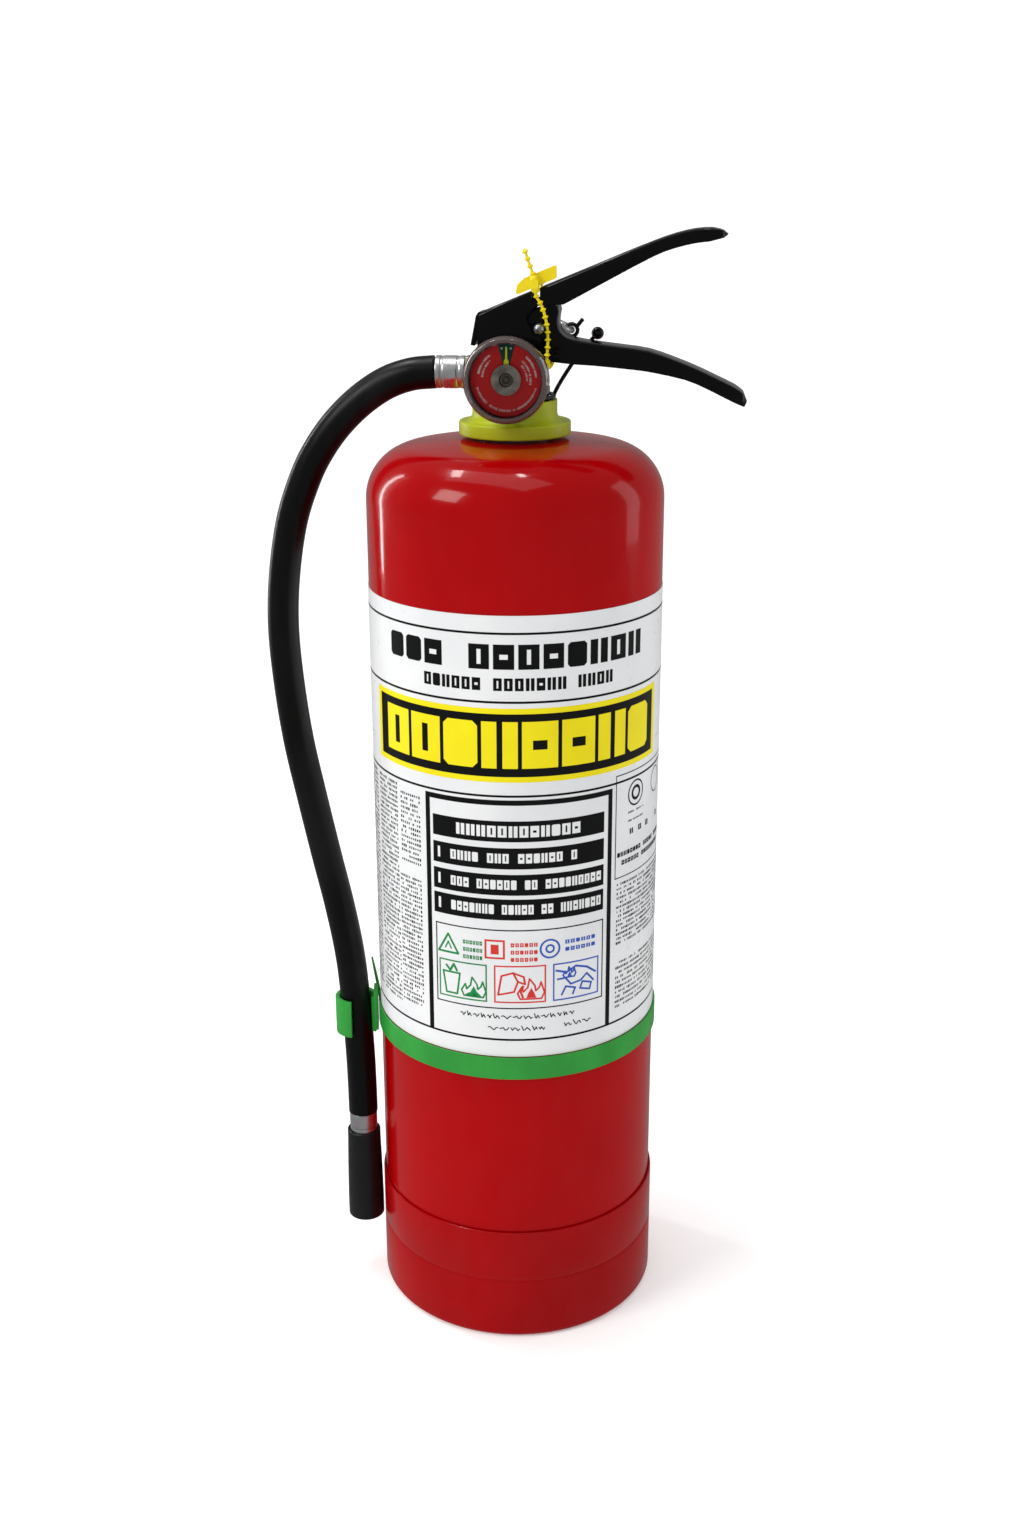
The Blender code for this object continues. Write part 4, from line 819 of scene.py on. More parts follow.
    @staticmethod
    def print_rows() -> NodeTree:
        """Rows of small print marks, wrapped on a cylinder: a grid of marks with gaps, each a little different.

        Returns:
            The tree.
        """
        tree, given = Repeats.tree("rows of print", {
            "Width": 0.03, "Height": 0.1, "Across": 20, "Rows": 40, "Mark Width": 0.9 * MM, "Mark Height": 1.3 * MM,
            "Gaps": 0.16, "Facing": 0.0, "Middle Height": 0.25, "Radius": 0.0668, "Axis": AXIS_X, "Seed": 1})
        grid = add(tree, "GeometryNodeMeshGrid", {"Size X": given["Width"], "Size Y": given["Height"],
                                                  "Vertices X": given["Across"], "Vertices Y": given["Rows"]})
        gap, mark, varied = Repeats.marks(tree, given, (0.55, 0.6, 1.0), (1.05, 1.1, 1.0))
        thinned = add(tree, "GeometryNodeDeleteGeometry", {"Geometry": grid, "Selection": gap}, domain="POINT")
        placed = add(tree, "GeometryNodeInstanceOnPoints", {"Points": thinned, "Instance": mark, "Scale": varied})
        real = add(tree, "GeometryNodeRealizeInstances", {0: placed})
        where = add(tree, "ShaderNodeSeparateXYZ", {0: add(tree, "GeometryNodeInputPosition")})
        turn = add(tree, "ShaderNodeMath", {0: where, 1: given["Radius"]}, operation="DIVIDE")
        angle = add(tree, "ShaderNodeMath", {0: turn, 1: given["Facing"]}, operation="ADD")
        spot = [add(tree, "ShaderNodeMath", {0: add(tree, "ShaderNodeMath", {0: angle}, operation=way),
                                             1: given["Radius"], 2: middle}, operation="MULTIPLY_ADD")
                for way, middle in (("COSINE", given["Axis"]), ("SINE", 0.0))]
        spot.append(add(tree, "ShaderNodeMath", {0: where.outputs[1], 1: given["Middle Height"]}, operation="ADD"))
        wrapped = add(tree, "GeometryNodeSetPosition", {
            "Geometry": real, "Position": add(tree, "ShaderNodeCombineXYZ", dict(enumerate(spot)))})
        return Repeats.ended(tree, wrapped, given)

    @staticmethod
    def dial_marks() -> NodeTree:
        """Small marks round an arc on the dial's face.

        Returns:
            The tree.
        """
        tree, given = Repeats.tree("marks round a dial", {
            "Count": 20, "Radius": 0.012, "Start": 0.0, "Sweep": 1.0, "Mark Width": 0.6 * MM, "Mark Height": 1.2 * MM,
            "Gaps": 0.1, "Place": (0, 0, 0), "Seed": 1})
        line = add(tree, "GeometryNodeCurveArc", {"Resolution": given["Count"], "Radius": given["Radius"],
                                                  "Start Angle": given["Start"], "Sweep Angle": given["Sweep"]})
        points = add(tree, "GeometryNodeResampleCurve", {"Curve": line, "Count": given["Count"]}, mode="COUNT")
        gap, mark, varied = Repeats.marks(tree, given, (0.5, 0.6, 1.0), (1.0, 1.1, 1.0))
        aligned = add(tree, "FunctionNodeAlignRotationToVector", {"Vector": add(tree, "GeometryNodeInputTangent")},
                      axis="X")
        placed = add(tree, "GeometryNodeInstanceOnPoints", {
            "Points": points, "Selection": add(tree, "FunctionNodeBooleanMath", {0: gap}, operation="NOT"),
            "Instance": mark, "Rotation": aligned, "Scale": varied})
        upright = add(tree, "GeometryNodeTransform", {
            "Geometry": add(tree, "GeometryNodeRealizeInstances", {0: placed}), "Rotation": (math.pi / 2, 0, 0),
            "Translation": given["Place"]})
        return Repeats.ended(tree, upright, given)


# The studio ----------------------------------------------------------------------------------------

@dataclass
class Softbox:
    """A rectangular lamp: where it is in metres, its sides, its power and the warmth of its light."""

    name: str
    at: Point
    size: tuple[float, float]
    watts: float
    colour: str = "#FFFFFF"


@dataclass
class Studio:
    """A white sweep, soft lamps and the camera."""

    camera_at: Point = (94.0, -765.7, 532.7)
    pitch: float = 18.914
    yaw: float = -0.138
    roll: float = -0.221
    round_table: float = 7.0  # how far round the tank from straight in front the camera stands, in degrees
    lens: float = 40.58
    lit_point: Point = (0, 0, 0.25)  # what every lamp is turned to, in metres
    paper_glow: float = 0.27
    room: float = 0.5  # the room's light on what it falls on
    room_in_gloss: float = 0.26  # its strength in a reflection
    room_extra_seen: float = 0.42  # what it gains where it is seen itself
    lamps: list[Softbox] = field(default_factory=lambda: [
        Softbox("key softbox", (-1.5, -1.2, 1.7), (0.8, 0.8), 20.0, "#FFFDFA"),
        Softbox("dome strip", (-0.5, 0.15, 1.45), (0.34, 0.1), 2.4),
        Softbox("dome spot", (0.05, 0.02, 1.6), (0.16, 0.07), 1.2),
        Softbox("top panel", (-0.2, -0.3, 2.1), (1.8, 0.8), 7.0),
        Softbox("left strip", (-1.6, 0.75, 0.7), (0.12, 1.5), 8.0, "#FBFCFF"),
        Softbox("right panel", (1.7, 0.5, 0.75), (0.5, 1.5), 4.0, "#FBFCFF"),
    ])

    def sweep(self) -> None:
        """Builds the floor, which curves up into the wall behind."""
        shape = Shape("studio_sweep")
        line = [(-3.0, 0.0), (1.4, 0.0)]
        line += [(1.4 + x, 0.9 + y) for x, y in arc(0.9, -80, 0, 10)]
        line += [(2.3, 4.0)]
        rows = [[shape.bm.verts.new((x * 1000, y * 1000, z * 1000)) for x in (-4.0, 4.0)] for y, z in line]
        for (a, b), (c, d) in zip(rows, rows[1:]):
            shape.bm.faces.new((a, b, d, c))
        nodes = PAPER.material().node_tree.nodes
        shader = next(node for node in nodes if node.type == "BSDF_PRINCIPLED")
        Finish.even(shader, emission_color=srgb("#FFFFFF"), emission_strength=self.paper_glow)
        floor = shape.done(PAPER, closed=False, crisp=60)
        floor.visible_glossy = False

    def light(self) -> None:
        """Sets the room's even light and hangs the lamps, each turned to the extinguisher's middle."""
        world = bpy.data.worlds.new("white room")
        world.use_nodes = True
        tree = world.node_tree
        sky = tree.nodes["Background"]
        sky.inputs["Color"].default_value = srgb("#FFFFFF")
        paths = add(tree, "ShaderNodeLightPath")
        lit = add(tree, "ShaderNodeMapRange", {"Value": paths.outputs["Is Glossy Ray"], "To Min": self.room,
                                               "To Max": self.room_in_gloss})
        seen = add(tree, "ShaderNodeMath", {0: paths.outputs["Is Camera Ray"], 1: self.room_extra_seen, 2: lit},
                   operation="MULTIPLY_ADD")
        tree.links.new(seen.outputs[0], sky.inputs["Strength"])
        bpy.context.scene.world = world
        for lamp in self.lamps:
            data = bpy.data.lights.new(lamp.name, "AREA")
            data.shape = "RECTANGLE"
            data.size, data.size_y = lamp.size
            data.energy = lamp.watts
            data.color = srgb(lamp.colour)[:3]
            obj = linked(lamp.name, data)
            obj.location = lamp.at
            obj.rotation_euler = (Vector(self.lit_point) - Vector(lamp.at)).to_track_quat("-Z", "Y").to_euler()

    def camera(self) -> None:
        """Sets up the camera, as a person standing in front would hold it."""
        yaw, pitch, roll = (math.radians(a) for a in (self.yaw, self.pitch, self.roll))
        ahead = Vector((math.sin(yaw) * math.cos(pitch), math.cos(yaw) * math.cos(pitch), -math.sin(pitch)))
        right = ahead.cross(Vector((0, 0, 1))).normalized()
        up = right.cross(ahead)
        level, tall = right * math.cos(roll) + up * math.sin(roll), up * math.cos(roll) - right * math.sin(roll)
        turn = Matrix.Rotation(math.radians(self.round_table), 3, "Z")
        facing = turn @ Matrix((level, tall, -ahead)).transposed()
        data = bpy.data.cameras.new("portrait camera")
        data.lens = self.lens
        data.sensor_width = 36.0
        data.clip_start = 0.01
        obj = linked(data.name, data)
        obj.matrix_world = Matrix.Translation(Vector(self.camera_at) * MM + Vector((AXIS_X, 0, 0))) \
            @ facing.to_4x4()
        bpy.context.scene.camera = obj

    def build(self) -> None:
        """Builds the studio."""
        self.camera()
        self.sweep()
        self.light()
        bpy.context.scene.view_settings.view_transform = "Standard"


# The hose ------------------------------------------------------------------------------------------

@dataclass
class HoseLine:
    """The hose with its two ferrules and the nozzle."""

    radius: float = 7.2
    route: list[Point] = field(default_factory=lambda: [
        (-35.1, 0, 451), (-46, 0, 449.8), (-57.4, 0, 445.8), (-69, 0, 438.2), (-79.6, -0.1, 428.2),
        (-88.3, -0.2, 416.8), (-95.2, -0.6, 404), (-102.3, -1.4, 384), (-106.6, -2.7, 359), (-107.8, -4.3, 335),
        (-105.9, -6.2, 309), (-102, -8.2, 281), (-96.3, -10.2, 254), (-90.1, -12, 226), (-84, -13.4, 199),
        (-79.6, -14.2, 173), (-77.5, -14.5, 146), (-76.3, -14.7, 122), (-75.9, -14.8, 104), (-75.8, -14.8, 89.7)])
    nozzle_axis: tuple[float, float] = (-75.8, -14.8)

    def hose(self) -> Object:
        """The rubber hose: one smooth tube, its ends cut square inside the ferrules.

        Returns:
            The piece.
        """
        path = smoothed(self.route, 10)
        return Shape("hose_finished").swept(path, self.radius - 0.02, 48, rounded=False).done(HOSE_SKIN)

    def ferrules(self) -> tuple[Object, Object]:
        """The crimped ferrules at both ends of the hose.

        Returns:
            The upper and the lower ferrule.
        """
        tube = [(4.1, 21.5), (7.1, 21.5), (7.1, 23.4), (6.86, 23.9), (6.86, 24.7), (7.1, 25.2), (7.1, 30.8),
                (6.86, 31.3), (6.86, 32.1), (7.1, 32.6), (7.1, 34.5), (4.1, 34.5)]
        upper = Shape("upper_ferrule_finished").turned(filleted(tube, 0.4), 96, Aim.OUTLET, (0, 0, PORT_Z))
        x, y = self.nozzle_axis
        low = [(3.4, 64.7), (6.8, 64.7), (6.8, 80.6), (6.62, 81.0), (6.62, 81.6), (6.8, 82.0), (6.8, 89.4), (3.4, 89.4)]
        lower = Shape("lower_ferrule_finished").turned(filleted(low, 0.4), 96, Aim.UP, (x, y, 0))
        return upper.done(ALUMINIUM), lower.done(ALUMINIUM)

    def nozzle(self) -> Object:
        """The moulded nozzle: a slightly waisted tube with a rounded lip and a tapering bore.

        Returns:
            The piece.
        """
        x, y = self.nozzle_axis
        outside = [(7.2, 79.3), (8.2, 79.3), (8.2, 75), (8.6, 60), (8.9, 42), (8.9, 30.7), (6.2, 30.7)]
        inside = [(5.6, 44), (3.4, 56), (3.4, 64.4), (7.1, 64.4)]
        shape = Shape("nozzle_finished").turned(filleted(outside + inside, 0.8, steps=5), 96, Aim.UP, (x, y, 0))
        return shape.done(NOZZLE_MOULDING)

    def build(self) -> None:
        hose, (upper, lower), nozzle = self.hose(), self.ferrules(), self.nozzle()
        fit(upper, "hose", "polished_aluminium", "upper_ferrule")
        fit(lower, "hose", "polished_aluminium", "lower_ferrule")
        fit(nozzle, "hose", "black_plastic", "nozzle")
        fit(hose, "hose", "black_rubber", "hose")


# The tank ------------------------------------------------------------------------------------------

@dataclass
class Tank:
    """The pressure vessel and its foot skirt."""

    radius: float = 66.5
    top_tangent: float = 397.0
    top_rise: float = 26.8
    top_knuckle: float = 23.6
    bottom_tangent: float = 42.0
    bottom_rise: float = 24.0
    bottom_knuckle: float = 20.0
    neck_hole: float = 16.7
    wall: float = 1.5
    foot_radius: float = 67.7

    def ends(self, inset: float) -> tuple[list[tuple[float, float]], list[tuple[float, float]]]:
        """Profiles of both dished ends, from the tube inwards.

        Args:
            inset: how far inside the outer skin they lie, in mm.

        Returns:
            The top end as far as the neck's hole, and the bottom end as far as the axis.
        """
        top = dished(self.radius - inset, self.top_knuckle - inset, self.top_rise - inset, 20)
        low = dished(self.radius - inset, self.bottom_knuckle - inset, self.bottom_rise - inset)
        return ([(r, self.top_tangent + h) for r, h in top if r > self.neck_hole],
                [(r, self.bottom_tangent - h) for r, h in low])

    def shell(self) -> Object:
        """The enamelled vessel: dished ends drawn into a tube, with its wall and the neck's hole.

        Returns:
            The piece.
        """
        top, low = self.ends(0.0)
        inner_top, inner_low = self.ends(self.wall)
        rim = top[-1][1] + (top[-1][1] - top[-2][1]) * (top[-1][0] - self.neck_hole) / (top[-2][0] - top[-1][0])
        profile = [(0.0, low[-1][1]), *low[-2::-1], *top, (self.neck_hole, rim), (self.neck_hole, rim - self.wall),
                   *inner_top[::-1], *inner_low[:-1], (0.0, inner_low[-1][1])]
        return Shape("tank_shell_finished").turned(profile, 192, closed=False).done(RED_ENAMEL)

    def skirt(self) -> Object:
        """The foot skirt: rolled sheet with a bead round it and its foot turned in.

        Returns:
            The piece.
        """
        r = self.foot_radius
        outside = [(r - 0.45, 58.6), (r - 0.1, 58.4), (r, 57.9), (r, 33.6), (r - 0.18, 32.9), (r - 0.5, 32.0),
                   (r - 0.18, 31.1), (r, 30.4)]
        outside += [(r - 3.5 + x, 3.5 + z) for x, z in arc(3.5, 0, -90, 10)]
        inside = [(r - 7.3, 0.0), (r - 7.3, 0.9)]
        inside += [(r - 3.5 + x, 3.5 + z) for x, z in arc(2.6, -90, 0, 15)]
        inside += [(r - 0.9, 31.0), (r - 1.3, 32.0), (r - 0.9, 33.0), (r - 0.9, 58.6)]
        return Shape("foot_ring_finished").turned(outside + inside, 192).done(SKIRT_ENAMEL)

    def build(self) -> None:
        """Builds both pieces."""
        fit(self.shell(), "root", "red_enamel", "tank_shell")
        fit(self.skirt(), "root", "red_enamel", "foot_ring")


# The label and what is round it --------------------------------------------------------------------

class Ink(Enum):
    """The label's inks, in the order of its material slots."""

    BLACK = 0
    WHITE = 1
    YELLOW = 2
    GREEN = 3
    RED = 4
    BLUE = 5


@dataclass
class Label:
    """The label: a film round the tank, flat artwork wrapped on it in coloured inks, and rows of small print."""

    radius: float = 66.55
    film: float = 0.2
    ink_height: float = 0.035
    low: float = 151.9
    high: float = 358.3
    facing: float = -83.0
    around: float = 320.0
    inks: tuple[Finish, ...] = (INK_BLACK, INK_WHITE, INK_YELLOW, INK_GREEN, INK_RED, INK_BLUE)
    # The print blocks' bars, as shares of a block's width and height. One with none is whole, with cut corners.
    forms: tuple[tuple[tuple[float, float, float, float], ...], ...] = (
        ((0, 1, 0, 0.4), (0, 1, 0.6, 1), (0, 0.3, 0.4, 0.6), (0.7, 1, 0.4, 0.6)),
        ((0, 0.4, 0, 1), (0.6, 1, 0, 1), (0.4, 0.6, 0, 0.2), (0.4, 0.6, 0.8, 1)),
        (),
        ((0, 0.42, 0, 1), (0.58, 1, 0, 1)))

    def __post_init__(self) -> None:
        """Starts the flat artwork: one flat mesh for each height above the film."""
        self.art = [bmesh.new() for _ in range(3)]

    def sheet(self) -> Object:
        """The white film.

        Returns:
            The piece.
        """
        shape = Shape("label_wrap_finished")
        count = 180
        rows = []
        for r, z in ((self.radius, self.low), (self.radius + self.film, self.low),
                     (self.radius + self.film, self.high), (self.radius, self.high)):
            angles = [math.radians(self.facing + self.around * (i / count - 0.5)) for i in range(count + 1)]
            rows.append([shape.bm.verts.new(Aim.UP.place(r, a, z)) for a in angles])
        for a, b in zip(rows, rows[1:] + rows[:1]):
            for i in range(count):
                shape.bm.faces.new((a[i], a[i + 1], b[i + 1], b[i]))
        shape.bm.faces.new([row[0] for row in rows])
        shape.bm.faces.new([row[-1] for row in rows][::-1])
        return shape.done(LABEL_FILM)

    def area(self, points: Sequence[tuple[float, float]], ink: Ink = Ink.BLACK, layer: int = 0) -> None:
        """Draws a filled outline.

        Args:
            points: its corners, as mm to the right of the label's middle and mm above the floor.
            ink: its colour.
            layer: how many inks lie under it.
        """
        bm = self.art[layer]
        face = bm.faces.new([bm.verts.new((u, z, 0)) for u, z in points])
        if face.normal_update() or face.normal.z < 0:
            face.normal_flip()
        face.material_index = ink.value

    def block(self, u0: float, u1: float, z0: float, z1: float, ink: Ink = Ink.BLACK, layer: int = 0) -> None:
        """Draws a filled rectangle."""
        self.area([(u0, z0), (u1, z0), (u1, z1), (u0, z1)], ink, layer)

    def frame(self, u0: float, u1: float, z0: float, z1: float, width: float, ink: Ink = Ink.BLACK,
              layer: int = 0) -> None:
        """Draws a rectangle's outline, so wide inwards."""
        low, high = z0 + width, z1 - width
        for side in ((u0, u1, high, z1), (u0, u1, z0, low), (u0, u0 + width, low, high), (u1 - width, u1, low, high)):
            self.block(*side, ink, layer)

    def stroke(self, points: Sequence[tuple[float, float]], width: float, ink: Ink = Ink.BLACK, layer: int = 0) -> None:
        """Draws a line through points.

        Args:
            points: where it goes.
            width: of the line.
            ink: its colour.
            layer: how many inks lie under it.
        """
        for (a, b), (c, d) in zip(points, points[1:]):
            along = Vector((c - a, d - b))
            if along.length < 1e-6:
                continue
            along.normalize()
            side = Vector((-along.y, along.x)) * width / 2
            along *= width * 0.3
            p, q = Vector((a, b)) - along, Vector((c, d)) + along
            self.area([tuple(p - side), tuple(q - side), tuple(q + side), tuple(p + side)], ink, layer)

    def ring(self, u: float, z: float, r: float, width: float, ink: Ink = Ink.BLACK, layer: int = 0) -> None:
        """Draws a circle's outline."""
        count = 28
        spots = [(math.cos(2 * math.pi * i / count), math.sin(2 * math.pi * i / count)) for i in range(count + 1)]
        for (a, b), (c, d) in zip(spots, spots[1:]):
            self.area([(u + a * r, z + b * r), (u + c * r, z + d * r), (u + c * (r - width), z + d * (r - width)),
                       (u + a * (r - width), z + b * (r - width))], ink, layer)

    def glyphs(self, u0: float, u1: float, z0: float, z1: float, count: int, ink: Ink, layer: int,
               gap: float, spaces: Sequence[int] = (), seed: int = 1) -> None:
        """Draws a row of abstract print blocks that stands for a line of large type.

        Args:
            u0: the row's left end.
            u1: its right end.
            z0: its foot.
            z1: its head.
            count: blocks in the row.
            ink: their colour.
            layer: how many inks lie under them.
            gap: between blocks, as a share of a block.
            spaces: the blocks that are left out.
            seed: of the blocks' forms.
        """
        dice = random.Random(seed)
        pitch = (u1 - u0) / (count - gap)
        tall = z1 - z0
        for i in range(count):
            form = dice.randrange(len(self.forms))
            if i in spaces:
                continue
            a, b = u0 + i * pitch, u0 + i * pitch + pitch * (1 - gap)
            wide = b - a
            for left, right, foot, head in self.forms[form]:
                self.block(a + left * wide, a + right * wide, z0 + foot * tall, z0 + head * tall, ink, layer)
            if not self.forms[form]:
                c = 0.14 * wide
                self.area([(a + c, z0), (b - c, z0), (b, z0 + c), (b, z1 - c), (b - c, z1), (a + c, z1),
                           (a, z1 - c), (a, z0 + c)], ink, layer)

    def flames(self, u: float, z: float, s: float, ink: Ink) -> None:
        """Draws a small flame with two tongues, s mm high."""
        shape = [(-0.5, 0.0), (-0.62, 0.28), (-0.42, 0.62), (-0.36, 0.36), (-0.16, 0.58), (-0.08, 1.0), (0.16, 0.66),
                 (0.2, 0.4), (0.36, 0.56), (0.44, 0.82), (0.6, 0.3), (0.46, 0.0)]
        closed = [(u + a * s, z + b * s) for a, b in shape]
        self.stroke([*closed, closed[0]], 0.8, ink)
        self.area([(u + a * s * 0.45, z + 0.05 * s + b * s * 0.5) for a, b in
                   ((-0.5, 0.0), (-0.3, 0.5), (0.0, 1.0), (0.3, 0.5), (0.5, 0.0))], ink)

    def headings(self) -> None:
        """Draws the rules, the two heading lines and the panel with its blocks."""
        edge = 185.0
        for z in (350.6, 320.5, 278.1, 160.5):
            self.block(-edge, edge, z - 0.5, z + 0.5)
        self.glyphs(-63, 63.5, 335, 345.9, 12, Ink.BLACK, 0, 0.16, (3,), 5)
        self.glyphs(-42, 45, 325.6, 331.2, 19, Ink.BLACK, 0, 0.2, (6, 14), 8)
        self.block(-77, 79.5, 284.5, 317.8, Ink.YELLOW)
        self.block(-73.9, 76.4, 287.0, 315.3, Ink.BLACK, 1)
        self.glyphs(-67.6, 71, 290.8, 311.9, 8, Ink.YELLOW, 2, 0.1, (), 3)

    def instructions(self) -> None:
        """Draws the framed box with its four bars and their marks."""
        for box in ((-42.7, 46.1, 273.9, 276.3), (-42.7, -40.3, 161, 273.9), (43.7, 46.1, 161, 273.9)):
            self.block(*box)
        for k, (z0, z1) in enumerate(((256.9, 266.6), (244.1, 254.0), (231.6, 241.5), (219.7, 229.7))):
            self.block(-38.8, 41.5, z0, z1)
            if k == 0:
                self.glyphs(-27, 29, z0 + 2.2, z1 - 2.2, 12, Ink.WHITE, 1, 0.18, (), 11)
            else:
                self.block(-36.4, -35.2, z0 + 2.6, z1 - 2.2, Ink.WHITE, 1)
                self.glyphs(-30, (27.5, 40.0, 40.0)[k - 1], z0 + 2.8, z1 - 2.6, (17, 23, 24)[k - 1], Ink.WHITE, 1, 0.2,
                            ((4, 8, 15), (3, 10, 13), (7, 13, 16))[k - 1], 20 + k)

    def classes(self) -> None:
        """Draws the three coloured signs with their pictures, and the two lines under them."""
        self.frame(-38.2, 41.7, 176, 215, 0.6)
        tri = [(-31.8, 210.2), (-36.8, 201.2), (-26.8, 201.2), (-31.8, 210.2)]
        self.stroke(tri, 1.0, Ink.GREEN)
        self.stroke([(-33.3, 203.2), (-31.8, 206.4), (-30.3, 203.2)], 0.7, Ink.GREEN)
        self.frame(-14.4, -5.2, 200.6, 210, 0.9, Ink.RED)
        self.block(-11.6, -8.0, 202.9, 207.6, Ink.RED)
        self.ring(15.1, 205.2, 4.8, 0.9, Ink.BLUE)
        self.ring(15.1, 205.2, 2.2, 0.9, Ink.BLUE)
        for u, ink, seed in ((-24.5, Ink.GREEN, 31), (-2.6, Ink.RED, 32), (22.2, Ink.BLUE, 33)):
            for row in range(3 if ink is not Ink.BLUE else 2):
                z = 208.6 - row * 3.6
                self.glyphs(u, u + (9, 12, 15)[seed - 31], z - 1.9, z, 6, ink, 0, 0.24, (), seed + row)
        for (u0, u1), ink in (((-36.7, -13.4), Ink.GREEN), ((-10.2, 13.3), Ink.RED), ((16.5, 39.3), Ink.BLUE)):
            self.frame(u0, u1, 179, 197.5, 0.7, ink)
        green, red, blue = Ink.GREEN, Ink.RED, Ink.BLUE
        for ink, width, line in (
                (green, 0.9, ((-34.6, 191.5), (-33, 181.2), (-27.6, 181.2), (-26.2, 191.5), (-34.6, 191.5))),
                (green, 1.1, ((-33, 194.6), (-31, 192.4), (-29.2, 195.6), (-27.6, 192.6))),
                (red, 0.9, ((-8.4, 183), (-6.8, 192.4), (-1.6, 194), (0.6, 189.6), (-1.2, 184.6), (-8.4, 183))),
                (red, 0.9, ((-1.6, 194), (3.2, 192), (3.8, 188.4), (0.6, 189.6))),
                (red, 1.0, ((3.0, 187.4), (1.8, 184.6), (2.8, 181.8))),
                (blue, 1.0, ((18, 194), (23, 192.6), (27.5, 195), (33, 193.4), (37.6, 190))),
                (blue, 0.9, ((18.6, 189.6), (22.4, 189.8), (25, 186.4), (30, 187.4), (33, 190.2), (36.6, 186))),
                (blue, 0.9, ((20.6, 181.6), (22.6, 185.6), (27.2, 184.2), (26, 181.2))),
                (blue, 0.9, ((29.6, 183.4), (34.6, 182.0), (35.4, 185.2), (30.8, 186.6), (29.6, 183.4)))):
            self.stroke(line, width, ink)
        for u, z, tall, ink in ((-19.6, 181.0, 9.5, green), (6.6, 181.0, 10, red), (24.4, 190.0, 5.0, blue)):
            self.flames(u, z, tall, ink)
        self.area([(-24.5, 181), (-15.5, 181), (-18, 183.4), (-22, 182.8)], green)
        dice = random.Random(4)
        for u0, u1, z in ((-26, 27, 171.9), (-13, 12, 166.0), (22, 35, 166.4)):
            u = u0
            while u < u1:
                word = dice.uniform(1.6, 4.6)
                wiggle = [(u + word * t, z + 0.75 * math.sin(9 * t + u) + (0.9 if k == 0 else 0))
                          for k, t in enumerate((0, 0.2, 0.4, 0.6, 0.8, 1.0))]
                self.stroke(wiggle, 0.5)
                u += word + 0.9

    def sides(self) -> None:
        """Draws the frames of the right-hand box and of the panels further round."""
        self.frame(48.2, 96, 232, 281.5, 0.5)
        for u, radius, width in ((62.5, 6.2, 0.8), (62.5, 3.6, 1.4), (84.0, 6.2, 0.6)):
            self.ring(u, 270.4, radius, width)
        self.glyphs(58, 92, 251.4, 254.0, 10, Ink.BLACK, 0, 0.24, (1, 3, 5, 6, 7, 9), 44)
        self.glyphs(49.6, 94.5, 242.2, 244.4, 20, Ink.BLACK, 0, 0.18, (8, 14), 45)
        self.glyphs(52.6, 90.5, 238.0, 240.2, 17, Ink.BLACK, 0, 0.18, (6,), 46)
        for u in (-158.0, 108.0):
            self.frame(u, u + 50, 168, 274, 0.6)
            self.block(u + 3, u + 47, 262, 270)
            self.glyphs(u + 8, u + 42, 264, 268, 9, Ink.WHITE, 1, 0.2, (4,), 51)
            for row in range(6):
                self.block(u + 3, u + 47, 246.5 - 13.6 * row, 247.0 - 13.6 * row)
        self.block(-104, -103.5, 161, 278)
        self.block(102.5, 103, 161, 278)

    def wrapped(self) -> Object:
        """Cuts the flat artwork into narrow strips and bends it round the tank.

        Returns:
            The piece.
        """
        whole = Shape("label_print")
        strip, strips = 2.5, 76  # mm, and how many lie on each side of the middle
        for layer, bm in enumerate(self.art):
            for k in range(-strips, strips + 1):
                cut = k * strip + 0.013  # clear of the artwork's own edges
                bmesh.ops.bisect_plane(bm, geom=[*bm.verts, *bm.edges, *bm.faces], plane_co=(cut, 0, 0),
                                       plane_no=(1, 0, 0), dist=1e-5)
            r = self.radius + self.film + self.ink_height * (layer + 1)
            for face in bm.faces:
                spots = []
                for v in face.verts:
                    a = math.radians(self.facing) + v.co.x / self.radius
                    spots.append(whole.bm.verts.new(Aim.UP.place(r, a, v.co.y)))
                new = whole.bm.faces.new(spots)
                new.material_index = face.material_index
            bm.free()
        return whole.done(*self.inks, closed=False)

    def small_print(self, tree: NodeTree, index: int, u0: float, u1: float, z0: float, z1: float,
                    pitch: float, ink: Finish = INK_BLACK) -> Object:
        """Fills an area with rows of small print.

        Args:
            tree: the rows' tree.
            index: a number for the piece's name and its seed.
            u0: the area's left edge, in mm from the label's middle.
            u1: its right edge.
            z0: its foot.
            z1: its head.
            pitch: from row to row.
            ink: its colour.

        Returns:
            The piece.
        """
        r = self.radius + self.film + self.ink_height
        return Repeats.run(tree, bpy.data.meshes.new(f"label_small_print_{index}"), {
            "Width": (u1 - u0) * MM, "Height": (z1 - z0) * MM, "Across": round((u1 - u0) / (pitch * 0.55)),
            "Rows": round((z1 - z0) / pitch), "Mark Width": pitch * 0.44 * MM, "Mark Height": pitch * 0.6 * MM,
            "Gaps": 0.17, "Facing": math.radians(self.facing) + (u0 + u1) / 2 / self.radius,
            "Middle Height": (z0 + z1) / 2 * MM, "Radius": r * MM, "Seed": index, "Material": ink.material()})

